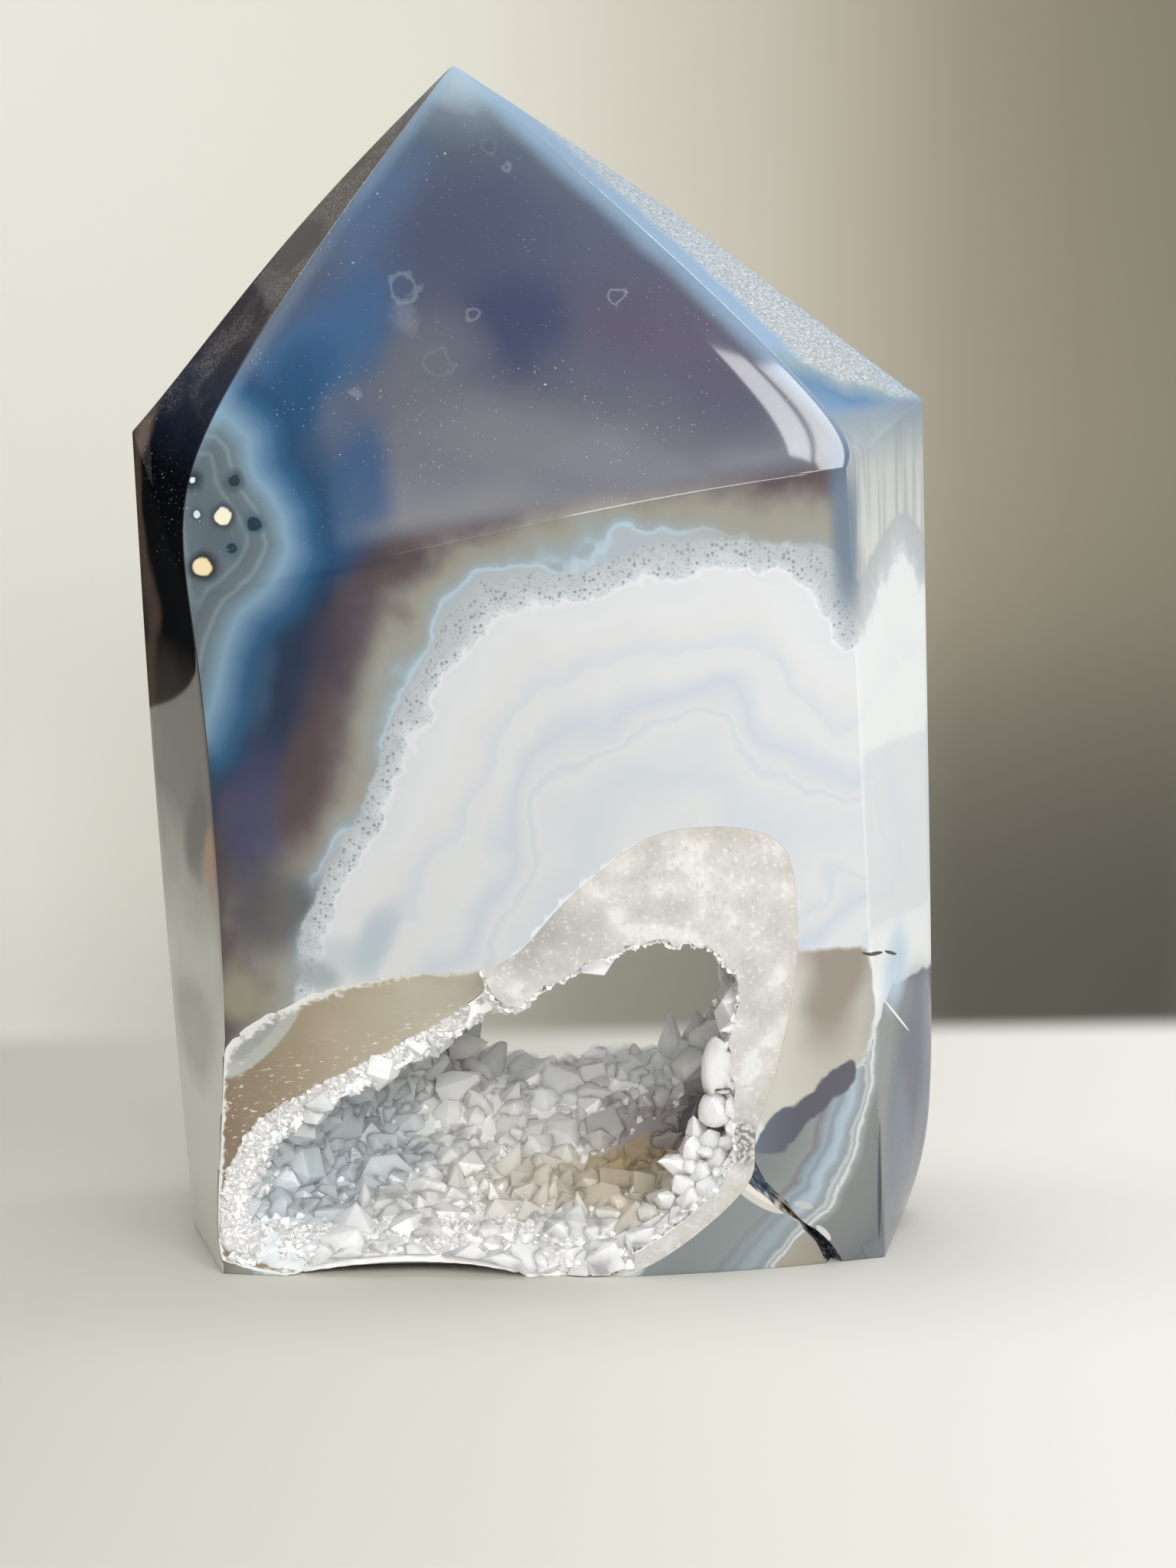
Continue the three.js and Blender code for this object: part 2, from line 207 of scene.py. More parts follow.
# The hollow as closed outlines [x, z] at depths y, clockwise from the lower left corner. inner is the inner
# face of its lining: a second outline, or one thickness all round.
hollow = [
    {"y": -27.5, "outline": [
        (-44, 2.2), (-49, 15), (-45.4, 28), (-45, 43), (-32.2, 43.6), (-17.9, 41.6), (-6.1, 41),
        (2.6, 49), (13.5, 56.4), (28.7, 55.2), (31.3, 44), (28.9, 28), (25.4, 17.5), (25, 12),
        (19.3, 5.9), (11.5, 0.6), (0, -2.5), (-20, -2.5), (-37.5, -0.8)],
     "inner": [
        (-46, 0.5), (-51, 15), (-47.4, 29), (-46, 47), (-32.8, 47), (-12.6, 46), (-5.4, 35),
        (0.6, 38.2), (9, 41.8), (17, 42), (23.4, 37.4), (22.4, 28), (23, 18.5), (22.6, 13),
        (17.2, 7), (9.4, 2), (0, 0.6), (-20, 0.6), (-35, 0.8)]},
    {"y": -18, "outline": [
        (-41, 2.4), (-41.4, 6.5), (-40.6, 12), (-36.5, 18.8), (-29.5, 22.9), (-17, 29.2), (-6.4, 36.4),
        (3, 48), (14, 55.8), (27.8, 54), (30.5, 44), (29, 28), (26.4, 18.5), (25.5, 12),
        (19.5, 6), (11.5, 2.4), (0, 1.8), (-20, 1.8), (-37, 1.8)],
     "inner": [
        (-38.6, 4.4), (-38.9, 7), (-37.9, 11), (-34.6, 16), (-28.2, 20.4), (-16, 26.8), (-6, 33.6),
        (1.5, 39), (9.5, 43.5), (18, 43.5), (23.5, 38.5), (22.5, 28), (23.6, 18.5), (21.8, 12.5),
        (17, 8.4), (9.5, 5.4), (0, 4.6), (-20, 4.6), (-34, 4.2)]},
    {"y": -6, "outline": [
        (-36, 3.4), (-37, 7.5), (-35, 13.5), (-30.5, 20.5), (-24, 26.5), (-14.5, 33), (-5, 40),
        (3.5, 47), (14, 52), (25.5, 50), (30.5, 42), (31, 30), (30.5, 20), (28, 12.5),
        (21, 6.5), (12, 3.8), (0, 3), (-18, 2.8), (-31, 2.6)], "inner": 3.4},
    {"y": 8, "outline": [
        (-24, 8), (-25.5, 12), (-24.5, 17), (-21.5, 22.5), (-17, 27.5), (-10, 33), (-2.5, 38.5),
        (5, 43.5), (14, 46.5), (24, 44.5), (29.5, 38), (31, 30), (30.5, 22), (27, 15.5),
        (20.5, 10.5), (12, 8), (1, 7.2), (-11, 6.6), (-19.5, 6.6)], "inner": 3.2},
    {"y": 18, "outline": [
        (-15, 14), (-16, 17.5), (-15, 21.5), (-12.5, 25.5), (-9, 29), (-4, 33), (2, 36.6),
        (8, 39.4), (15, 40.6), (22.5, 39.4), (28, 35), (30, 29), (29, 23), (25.5, 18),
        (19.5, 14), (12, 12.2), (3.5, 11.6), (-5, 11.4), (-11, 12)], "inner": 2.8},
    {"y": 27.5, "outline": [
        (-13, 17), (-13.5, 20), (-12.5, 23.5), (-10, 27), (-7, 30), (-2.5, 33.5), (3, 36.5),
        (9, 38.6), (15.5, 39.4), (22.5, 38.4), (27.5, 35), (29.8, 30), (29.5, 24.5), (26.5, 19.5),
        (21, 16), (14, 14), (6, 13.2), (-2, 13.2), (-8.5, 14.4)], "inner": 2.6},
]
cave = {
    "steps": 8,  # points between two outline points
    "depthStep": 0.9,  # mm between two rings
    "lip": (-18.7, -17.6),  # depths between which the lining's broken lip stands, left of the front
    "lipCorners": 6,
    "hairGap": 0.02,  # mm between the stone and its crust
    "relief": 0.35,  # mm of roughness on the fracture
    "grain": 0.3,  # mm of roughness on the lining
    "jags": 1.1,  # mm of roughness at the lining's front edge, above and at the right
}
frontAt = -26  # mm, the polished front's depth
arch = {"left": -34, "right": -2, "rise": 3.4, "depth": 10.5, "steps": 17, "flatness": 0.75}
lip = {
    "left": -44,
    "right": 11,
    "step": 0.8,
    "depth": 0.9,  # mm that crumbled away behind the face
    "rough": 0.7,  # mm more or less, by noise
    "start": 0.6,  # mm in front of the face, where the cut begins
    "outside": -31,  # a depth in front of everything
    "shares": (1.6, 1.3, 1, 0.85, 0.5, 0),  # how much of the cut is made at each of the heights
    "heights": (-1, 0.8, 2.2, 3.6, 5, 6.2),
}
crack = {
    "path": [(24.3, 15.2), (24.9, 13.5), (25.9, 11.6), (27.4, 10.1), (29.3, 8.2), (30.2, 7.2), (31.4, 6),
             (32.8, 4.7), (34, 3.6), (35.3, 2), (36.8, -0.8)],
    "width": [1.4, 2.3, 2.2, 1.4, 1.5, 1.0, 0.6, 1.0, 1.4, 1.9, 1.9],
    "section": [(-0.5, -3), (0.5, -3), (0.5, 0.3), (0.15, 2.2), (-0.4, 0.5)],  # across in widths, in in mm
    "step": 1.2,  # mm between two jags
    "jag": 0.22,
}


def between(rings, step):  # fills in rings between the given ones, each a list of [x, y, z]
    filled = []
    for a, b in zip(rings, rings[1:]):
        cuts = max(1, round(abs(b[0][1] - a[0][1]) / step))
        filled += [a + (b - a) * k / cuts for k in range(cuts)]
    return filled + [rings[-1]]


def ringAt(y, outline, thickness=0.0):
    line = inset(closedCurve(outline, cave["steps"]), thickness)
    return np.stack([line[:, 0], np.full(len(line), float(y)), line[:, 1]], 1)


def roughen(rings, amount, grain, seed):  # shifts ring points sideways by noise; amount is mm at a point
    for ring in rings:
        along = np.roll(ring, -1, 0) - np.roll(ring, 1, 0)
        along /= np.linalg.norm(along, axis=1)[:, None] + 1e-9
        for p, direction in zip(ring, along):
            shift = noise.fractal(Vector(p * grain + (seed, 0, 0)), 0.8, 2.1, 4) * amount(p)
            p[0] -= direction[2] * shift
            p[2] += direction[0] * shift
    return rings


def onFracture(p):  # 1 on the bared slope above the hollow's left half, 0 elsewhere
    left = min(1, max(0, (-4 - p[0]) / 6))
    return left * min(1, max(0, (-16.5 - p[1]) / 2))


def onEdge(p):  # 1 at the lining's front edge right of the slope and above the lower lip, 0 elsewhere
    return min(1, max(0, (-20 - p[1]) / 3)) * min(1, max(0, (p[0] + 9) / 3)) * min(1, max(0, (p[2] - 8) / 5))


def cavityTool():
    rings = between([ringAt(s["y"], s["outline"]) for s in hollow], cave["depthStep"])
    return loft("cavity", roughen(rings, lambda p: cave["relief"] * onFracture(p), (0.25, 0.9, 0.25), 3))


def innerRings():
    front, lip = hollow[:2]
    share = (cave["lip"][0] - front["y"]) / (lip["y"] - front["y"])
    inner, there = np.array(front["inner"], float), np.array(lip["inner"], float)
    widened = inner.copy()
    widened[cave["lipCorners"]:] += (there - inner)[cave["lipCorners"]:] * share
    rings = [ringAt(front["y"], inner), ringAt(cave["lip"][0], widened), ringAt(cave["lip"][1], there)]
    rings += [ringAt(s["y"], s["outline"], s["inner"]) for s in hollow[2:]]
    return rings


def liningTools():
    outer = between([ringAt(s["y"], s["outline"], cave["hairGap"]) for s in hollow], cave["depthStep"] * 2)
    inner = roughen(between(innerRings(), cave["depthStep"]), lambda p: cave["grain"], (0.6, 0.6, 0.6), 11)
    inner = roughen(inner, lambda p: cave["jags"] * onEdge(p), (0.42, 0.2, 0.42), 5)
    return loft("liningOutside", outer), loft("liningInside", inner), inner


def archTool():  # the rise of the broken lower lip off whatever the stone stands on
    front, back = hollow[0]["y"] - 0.5, arch["depth"] + frontAt
    rings = []
    for share in np.linspace(0, 1, arch["steps"]):
        lift = 0.02 + arch["rise"] * math.sin(math.pi * share) ** arch["flatness"]
        x = arch["left"] + (arch["right"] - arch["left"]) * share
        rings.append([(x, front, -1), (x, back, -1), (x, front, lift)])
    return loft("arch", rings)


def lipTool():  # takes the crust's front off where its lower lip has crumbled
    rings = []
    for x in np.arange(lip["left"], lip["right"], lip["step"]):
        face = skin.ray_cast(Vector((x, 0, 2)) * mm, Vector((0, -1, 0)))[0].y / mm
        ring = []
        for share, height in zip(lip["shares"], lip["heights"]):
            rough = noise.fractal(Vector((x * 0.55, height * 0.55, 4.2)), 0.8, 2.1, 3)
            reach = lip["depth"] + lip["start"] + rough * lip["rough"]
            ring.append((x, face - lip["start"] + share * reach, height))
        rings.append([(x, lip["outside"], -1), *ring, (x, lip["outside"], ring[-1][2])])
    return loft("lip", rings)


def crackTool():  # a jagged wedge that follows the crack over the front, narrowing as it goes in
    path, width = np.array(crack["path"], float), np.array(crack["width"])
    reach = np.concatenate([[0], np.cumsum(np.linalg.norm(np.diff(path, axis=0), axis=1))])
    stops = np.arange(0, reach[-1], crack["step"])
    x, z, w = (np.interp(stops, reach, values) for values in (path[:, 0], path[:, 1], width))
    across = np.stack([np.gradient(z), -np.gradient(x)], 1)
    across /= np.linalg.norm(across, axis=1)[:, None]
    rings = []
    for k, s in enumerate(stops):
        face = skin.ray_cast(Vector((x[k], 0, max(z[k], 1))) * mm, Vector((0, -1, 0)))[0].y / mm
        jag = [noise.noise(Vector((s * 0.9, j * 7.3, 1.7))) * crack["jag"] for j in range(4)]
        ring = []
        for (side, depth), shift in zip(crack["section"], [*jag, jag[3]]):
            place = np.array([x[k], z[k]]) + across[k] * (side * w[k] + shift)
            ring.append((place[0], face + depth, place[1]))
        rings.append(ring)
    return loft("crack", rings)


def surfaceOf(piece):  # a tree to ask how far a point lies from the piece as it is now
    mesh = bmesh.new()
    mesh.from_mesh(piece.data)
    tree = BVHTree.FromBMesh(mesh)
    mesh.free()
    return tree


def faceSplit(piece, *trees):  # which of the surfaces each face lies on, or -1
    nearEnough = 0.04 * mm
    kinds = []
    for face in piece.data.polygons:
        far = [tree.find_nearest(face.center)[3] for tree in trees]
        kinds.append(far.index(min(far)) if min(far) < nearEnough else -1)
    return kinds


crystals = {
    "seed": 7,
    "shapes": 12,
    "sizes": [(330, 2.7, 4.3), (650, 1.6, 2.7), (900, 0.8, 1.6)],  # how many points, and their radii in mm
    "slender": (0.3, 0.72),  # how tall a point stands to its radius
    "sunk": 0.9,  # how deep its foot is in the crust, as a share of its radius
    "lean": 0.4,  # how far they lean at random
    "forward": (0, -0.1, 0.1),  # how far they all lean to the front and up
    "keepBack": 0.15,  # mm that points keep behind the polished faces
    "keepUp": 0.2,  # mm that they keep above the base and the arch
    "pointed": 0.7,  # share of the shapes that end in a point, where the others end in a short ridge
    "ridge": ((0.05, 0.3), (0.2, 0.5)),  # that ridge's width and length, to the prism's
    "topSlope": 0.25,  # how much the point's top drops from one side to the other
    "shoulders": 0.3,  # how far up or down a shoulder stands, to the point's height
    "bent": 0.35,  # how far aside a point leans over its foot, in radii
    "uneven": (0.75, 1.05),  # how far out its shoulders stand, in radii
    "worn": 0.14,  # bevel on the clear ones' edges, in radii
    "squash": (0.7, 1.15),  # how wide a crystal is across to along
    "shade": (0.88, 1.1),  # how much darker or lighter it is, at random, than the tone and painted light there
    "offLip": 0,  # how much of the usual growth is left on the broken lip at the left
    "offRight": 0.02,  # the same, on the rim at the right
    "offTop": 0.1,  # the same, on the rim above
}
# The crystals that stand out one by one: foot, direction, radius and height in mm.
standing = [
    ((-11.5, -5.7, 5.6), (-0.1, -0.4, 0.9), 2.2, 5), ((-4.2, -1.5, 7), (0.1, -0.3, 0.9), 2.7, 4.6),
    ((-6.1, -9.7, 5), (-0.3, -0.4, 0.8), 2.4, 3.6), ((-0.8, -12, 4.9), (0.1, -0.2, 1), 1.9, 4.8),
    ((-23.5, -11.1, 4.8), (0.2, -0.3, 0.9), 2.1, 4.4), ((-21.2, -4, 6), (0.1, -0.6, 0.8), 1.6, 3.2),
    ((2.8, 1.2, 7.8), (0, -0.4, 0.9), 3.8, 3.6), ((9.4, -0.5, 7.6), (-0.1, -0.5, 0.8), 2.6, 3.2),
    ((15.5, -1.9, 8.6), (-0.3, -0.6, 0.7), 2.6, 3.4), ((10, -16.2, 4.8), (-0.3, -0.3, 0.9), 2.6, 3.4),
    ((0.1, -11, 5), (0.4, -0.3, 0.9), 1.9, 4.4), ((4.4, -14.8, 4.6), (-0.2, -0.3, 0.9), 1.8, 4.4),
    ((-16, -13, 4.8), (0.1, -0.5, 0.9), 2.3, 3.2), ((-10.5, 14, 15), (0.8, -0.4, 0.4), 2.5, 3.6),
    ((-9.5, 19.5, 19.5), (0.9, -0.2, 0.1), 2.3, 3.4), ((-7.5, 13.4, 11.5), (0.1, -0.5, 0.8), 2.8, 3.4),
    ((-3.7, 15.2, 12.4), (0.2, -0.5, 0.8), 2.5, 4.0), ((12.5, 22.6, 15.2), (-0.2, -0.1, 1), 3.0, 2.8),
    ((-18.5, 12.6, 17.2), (0.8, -0.6, 0.1), 2.4, 2.2), ((-28, 1.4, 9.9), (0.7, -0.6, 0.3), 3.2, 2.4),
    ((18, -20.6, 15), (-0.3, -0.8, 0.5), 1.9, 3.1), ((20.2, -20.6, 16.3), (0, -0.8, 0.6), 1.7, 3.2),
    ((21.2, -20.8, 13.8), (0.2, -0.8, 0.4), 1.8, 3.3), ((19, -20.6, 12.2), (0, -0.8, 0.3), 2.0, 3.3),
    ((16.8, -20.8, 10.6), (-0.2, -0.8, 0.5), 1.7, 3), ((20.6, -20.8, 10.8), (0.2, -0.8, 0.2), 1.5, 3.2),
    ((16, -21, 13.2), (-0.5, -0.7, 0.5), 1.6, 2.8), ((18.4, -21, 17.6), (-0.2, -0.7, 0.7), 1.4, 2.8),
    ((22.6, -21, 16), (0.3, -0.8, 0.4), 1.4, 3), ((14.4, -21, 8.6), (-0.2, -0.8, 0.4), 1.6, 2.8),
    ((17.6, -21.4, 13), (0.1, -0.9, 0), 1.3, 2.9), ((19.6, -21.4, 14.8), (-0.1, -0.9, 0.1), 1.3, 3),
    ((22.4, -21.6, 12.2), (0.3, -0.8, 0.1), 1.3, 2.8), ((12.4, -21.4, 7), (0, -0.8, 0.4), 1.5, 2.6),
    ((23.2, -23.4, 31.4), (-0.9, 0, -0.3), 1.1, 2.2), ((20.4, 18.8, 15.4), (-0.2, -0.6, 0.8), 2.6, 2.6),
]
lobes = [  # the same, grown round and milky on the front rim
    ((21.4, -23, 25), (-0.05, -0.05, 1), 2.5, 5.4), ((20.7, -22.4, 20.2), (0, 0, 1), 2.2, 3),
    ((18.6, -20.8, 17.4), (0, 0, 1), 1.5, 1.6),
]
clearOnes = [  # the same, clear and stubby, round the hole's far side
    ((18.9, 21, 19.4), (0, -0.2, 1), 2.7, 4.7), ((22.5, 21, 20.4), (-0.1, -0.3, 1), 2.4, 4.3),
    ((26, 21, 22), (-0.5, -0.3, 0.8), 2.4, 4), ((27.4, 20.8, 25), (-0.75, -0.3, 0.6), 2.8, 4.2),
    ((28, 20.6, 29), (-0.85, -0.3, 0.3), 2.5, 3.6), ((14, 21.8, 17), (0, -0.3, 1), 1.8, 2.2),
    ((12, 22.6, 15.8), (-0.2, -0.3, 1), 1.7, 1.5), ((8.4, 22, 15.6), (0.2, -0.3, 1), 2.0, 1.8),
    ((4, 21.6, 15.2), (0, -0.4, 1), 2.3, 1.9), ((-1.6, 22.2, 15.6), (0.2, -0.3, 1), 2.3, 2.3),
    ((-5.6, 21.4, 17.2), (0.3, -0.4, 0.9), 2.4, 3.0), ((-8.8, 20.6, 20.6), (0.6, -0.4, 0.7), 2.5, 3.4),
]
chips = {
    "seed": 31,
    "count": 7000,
    "lower": 900,  # more of them on the broken lip below the hollow
    "shapes": 8,
    "radius": (0.25, 0.85),  # mm
    "uneven": 0.45,  # how far a chip's corners are shaken, in radii
}
# Tones of the druzy, as the centre and reach in mm and the colour there: partly its own colour and partly
# painted light and shade. The grey-blue on the left is partly painted shade, the warm browns in the middle
# painted light coming through the stone, and the dark mauve-greys on the right wall painted shadow.
tonesAndPaintedLight = [
    ((-30, -8, 12), 9, "#c6cfd4"), ((-22, -4, 22), 8, "#dde2e5"), ((-10, 0, 30), 8, "#eef1f1"),
    ((-33, -20, 8), 5, "#e6ecef"), ((-16, -14, 8), 7, "#fbf9f5"), ((-6, -10, 6), 6, "#e9e3d8"),
    ((4, -6, 7), 6, "#d8cbb4"), ((11, -3, 8), 4, "#b79c70"), ((14, -12, 8), 5, "#d4c9b5"),
    ((0, 6, 12), 7, "#f7f5f0"), ((14, 4, 13), 5, "#a59d9d"), ((24, -2, 20), 7, "#736a6c"),
    ((27, 2, 34), 7, "#cdc8c7"), ((5, 20, 14), 6, "#fafaf9"), ((20, 20, 20), 6, "#f1f2ef"),
    ((10, -4, 46), 9, "#f8f7f4"), ((20, -22, 13), 5, "#ffffff"), ((0, -24, 3), 6, "#ffffff"),
    ((-22, -24, 3), 6, "#ffffff"), ((21, -23, 30), 4, "#fdfcfb"), ((5, -23, 40), 5, "#ffffff"),
    ((-38, -20, 12), 4, "#ffffff"), ((-30, -19, 19), 3, "#ffffff"), ((-20, -19, 26), 3, "#ffffff"),
    ((-10, -19, 31), 3, "#ffffff"),
]


def colour(code):  # sRGB hex to linear
    parts = [int(code[i:i + 2], 16) / 255 for i in (1, 3, 5)]
    return [*(c / 12.92 if c <= 0.04045 else ((c + 0.055) / 1.055) ** 2.4 for c in parts), 1]


def tonesAndPaintedLightAt(places):  # mixes the tones, painted light and shade included, by how near each is
    far = [np.linalg.norm(places / mm - np.array(centre), axis=1) / reach for centre, reach, _ in tonesAndPaintedLight]
    share = np.exp(-np.array(far) ** 2) + 1e-6
    rgb = np.array([colour(code)[:3] for _, _, code in tonesAndPaintedLight])
    return (share / share.sum(0)).T @ rgb


def quartzPoint(random):  # one six-sided prism with an uneven point, a unit wide and tall
    bpy.ops.object.select_all(action="DESELECT")
    bpy.ops.mesh.primitive_cylinder_add(vertices=6, radius=1, depth=1, location=(0, 0, -0.5))
    point = bpy.context.object
    bpy.ops.object.transform_apply()
    bpy.ops.object.mode_set(mode="EDIT")
    bpy.ops.mesh.select_all(action="DESELECT")
    for face in bmesh.from_edit_mesh(point.data).faces:
        face.select = face.normal.z > 0.5
    bpy.ops.mesh.extrude_region_move(TRANSFORM_OT_translate={"value": (0, 0, 1)})
    if random.random() < crystals["pointed"]:
        bpy.ops.mesh.merge(type="CENTER")
    else:
        bpy.ops.transform.resize(value=(*(random.uniform(*span) for span in crystals["ridge"]), 1))
    bpy.ops.object.mode_set(mode="OBJECT")
    aside = random.uniform(-crystals["bent"], crystals["bent"], 2)
    rise = crystals["shoulders"]
    for corner in point.data.vertices:
        x, y, z = corner.co
        if z > 0.5:
            corner.co = (x + aside[0], y + aside[1], 1 - crystals["topSlope"] * (x + y))
        elif z > -0.5:
            out = [random.uniform(*crystals["uneven"]) for _ in range(2)]
            corner.co = (x * out[0], y * out[1], random.uniform(-rise, rise))
    return point


def stubbyPoint(random):  # one worn point with its edges taken off
    point = quartzPoint(random)
    return finish(point, "BEVEL", width=crystals["worn"], segments=2, limit_method="ANGLE",
                  angle_limit=20 * deg)


def milkyLobe(random):  # one smooth rounded growth with soft facets
    bpy.ops.object.select_all(action="DESELECT")
    bpy.ops.mesh.primitive_ico_sphere_add(subdivisions=3, radius=1)
    lobe = bpy.context.object
    bpy.ops.object.shade_smooth()
    facets = [Vector(random.normal(0, 1, 3)).normalized() for _ in range(6)]
    for corner in lobe.data.vertices:
        for facet in facets:
            over = corner.co.dot(facet) - 0.82  # each facet is cut this far from the middle, in radii
            corner.co -= facet * max(0, over)
    return lobe


def brokenChip(random):  # one angular grain
    bpy.ops.object.select_all(action="DESELECT")
    bpy.ops.mesh.primitive_ico_sphere_add(subdivisions=1, radius=1)
    chip = bpy.context.object
    bpy.ops.object.mode_set(mode="EDIT")
    bpy.ops.transform.vertex_random(offset=chips["uneven"], seed=int(random.integers(1000)))
    bpy.ops.object.mode_set(mode="OBJECT")
    return chip


def scatter(name, shapes, feet, ups, radii, heights, random):  # turned and sized copies, joined in one mesh
    corners = [np.array([v.co for v in shape.data.vertices]) for shape in shapes]
    outlines = [[list(face.vertices) for face in shape.data.polygons] for shape in shapes]
    places, polygons, toneAndPaintedLight, count = [], [], [], 0
    colours = tonesAndPaintedLightAt(np.array(feet))
    for foot, up, radius, tall, rgb in zip(feet, ups, radii, heights, colours):
        kind = random.integers(len(shapes))
        co, faces = corners[kind], outlines[kind]
        spin = Matrix.Rotation(random.random() * 2 * math.pi, 3, "Z")
        turn = Vector(up).to_track_quat("Z", "Y").to_matrix() @ spin
        squash = random.uniform(*crystals["squash"])
        depth = np.where(co[:, 2] < -0.5, crystals["sunk"] * radius, tall)
        sized = np.stack([co[:, 0] * radius, co[:, 1] * radius * squash, co[:, 2] * depth], 1)
        places.append(sized @ np.array(turn).T + np.array(foot))
        polygons += [[count + v for v in face] for face in faces]
        # each copy takes the tone there, painted light and shade included, a little darker or lighter at
        # random
        shade = rgb * random.uniform(*crystals["shade"])
        toneAndPaintedLight += [[*np.clip(shade, 0, 1), 1]] * len(co)
        count += len(co)
    for shape in shapes:
        bpy.data.objects.remove(shape)
    mesh = bpy.data.meshes.new(name)
    mesh.from_pydata(keptInside(np.concatenate(places)), [], polygons)
    attribute = mesh.attributes.new("toneAndPaintedLight", "FLOAT_COLOR", "POINT")
    attribute.data.foreach_set("color", np.array(toneAndPaintedLight, np.float32).ravel())
    grown = bpy.data.objects.new(name, mesh)
    bpy.context.collection.objects.link(grown)
    return grown


def keptInside(places):  # holds points behind the polished faces, above the base and out of the arch
    keep = crystals["keepBack"] * mm
    for p in places:
        for toward in (-1, 1):
            start = Vector((p[0], toward * 0.1, max(p[2], 0.3 * mm)))
            hit = skin.ray_cast(start, Vector((0, -toward, 0)))[0]
            if hit is not None and (p[1] - hit.y) * toward > -keep:
                p[1] = hit.y - keep * toward
        roof = crystals["keepUp"]
        share = (p[0] / mm - arch["left"]) / (arch["right"] - arch["left"])
        if 0 < share < 1:
            tall = arch["rise"] * math.sin(math.pi * share) ** arch["flatness"]
            roof += tall * min(1, max(0, (arch["depth"] + frontAt - p[1] / mm) / arch["depth"]))
        p[2] = max(p[2], roof * mm)
    return places


def pickSpots(piece, wanted, count, random, weight=None):  # places on the wanted faces, with their normals
    slant = Vector((0.7, 0.52, 0.49))  # carving leaves no order, so faces and corners are sorted along this
    faces = [face for face, kind in zip(piece.data.polygons, wanted) if kind]
    faces.sort(key=lambda face: face.center.dot(slant))
    share = np.array([f.area for f in faces])
    centres, normals = np.array([f.center for f in faces]) / mm, np.array([f.normal for f in faces])
    if weight is not None:
        share = share * weight(centres)
    picked = random.choice(len(faces), count, p=share / share.sum())
    spots = []
    for k, pulls in zip(picked, random.exponential(size=(count, 8))):
        corners = sorted((piece.data.vertices[v].co for v in faces[k].vertices), key=slant.dot)
        pulls = np.resize(pulls, len(corners))
        spots.append((pulls @ np.array(corners) / pulls.sum(), normals[k]))
    return spots


def offRim(centres):  # points grow anywhere in the hollow, but few or none on its broken rim
    x, y, z = centres.T
    share = np.where((x < -3) & (y < -16.6) & (z > 2 + (x + 42) * 0.1), crystals["offLip"], 1)
    share = share * np.where((x > 8) & (y < -20) & (z > 24), crystals["offRight"], 1)
    return share * np.where((y < -22.5) & (z > 30), crystals["offTop"], 1)


def growPoints(lining, isInner):
    random = np.random.default_rng(crystals["seed"])
    shapes = [quartzPoint(random) for _ in range(crystals["shapes"])]
    feet, ups, radii = [], [], []
    for count, low, high in crystals["sizes"]:
        for foot, normal in pickSpots(lining, isInner, count, random, offRim):
            up = normal + random.normal(0, crystals["lean"], 3) + crystals["forward"]
            feet.append(foot)
            ups.append(up / np.linalg.norm(up))
            radii.append(random.uniform(low, high) * mm)
    heights = [radius * random.uniform(*crystals["slender"]) for radius in radii]
    clear = [stubbyPoint(random) for _ in range(crystals["shapes"])]
    rounded = [milkyLobe(random) for _ in lobes]
    place, up, radius, tall = (np.array(v, float) for v in zip(*standing))
    feet, ups = feet + list(place * mm), ups + list(up)
    radii, heights = radii + list(radius * mm), heights + list(tall * mm)
    grown = [scatter("quartz_points", shapes, feet, ups, radii, heights, random)]
    for name, shapes, ones in (("clear_quartz_points", clear, clearOnes), ("quartz_lobes", rounded, lobes)):
        place, up, radius, tall = (np.array(v, float) for v in zip(*ones))
        grown.append(scatter(name, shapes, place * mm, up, radius * mm, tall * mm, random))
    grown[2].data.polygons.foreach_set("use_smooth", [True] * len(grown[2].data.polygons))
    return grown


def nearRim(centres):  # how thickly chips lie: most along the rims that broke
    x, y, z = centres.T
    rim = np.exp(-np.maximum(0, y + 24.5) / 1.2)
    lowerLip = np.exp(-np.maximum(0, y + 21) / 3) * (z < 9) * (x < 24)
    leftLip = np.exp(-np.abs(y + 18.3)) * (x < -3)
    back = np.exp(-np.maximum(0, 24 - y) / 1.2)
    return rim + lowerLip + leftLip * 5 + back * 0.5 + 0.01


def scatterChips(lining, isInner):
    random = np.random.default_rng(chips["seed"])
    shapes = [brokenChip(random) for _ in range(chips["shapes"])]
    spots = pickSpots(lining, isInner, chips["count"], random, nearRim)
    spots += pickSpots(lining, [kind == -1 for kind in crustFaces], chips["lower"], random)
    low, high = chips["radius"]
    radii = [(low + (high - low) * random.random() ** 2) * mm for _ in spots]
    ups = [random.normal(0, 1, 3) for _ in spots]
    return scatter("quartz_chips", shapes, [foot for foot, _ in spots], ups, radii, radii, random)


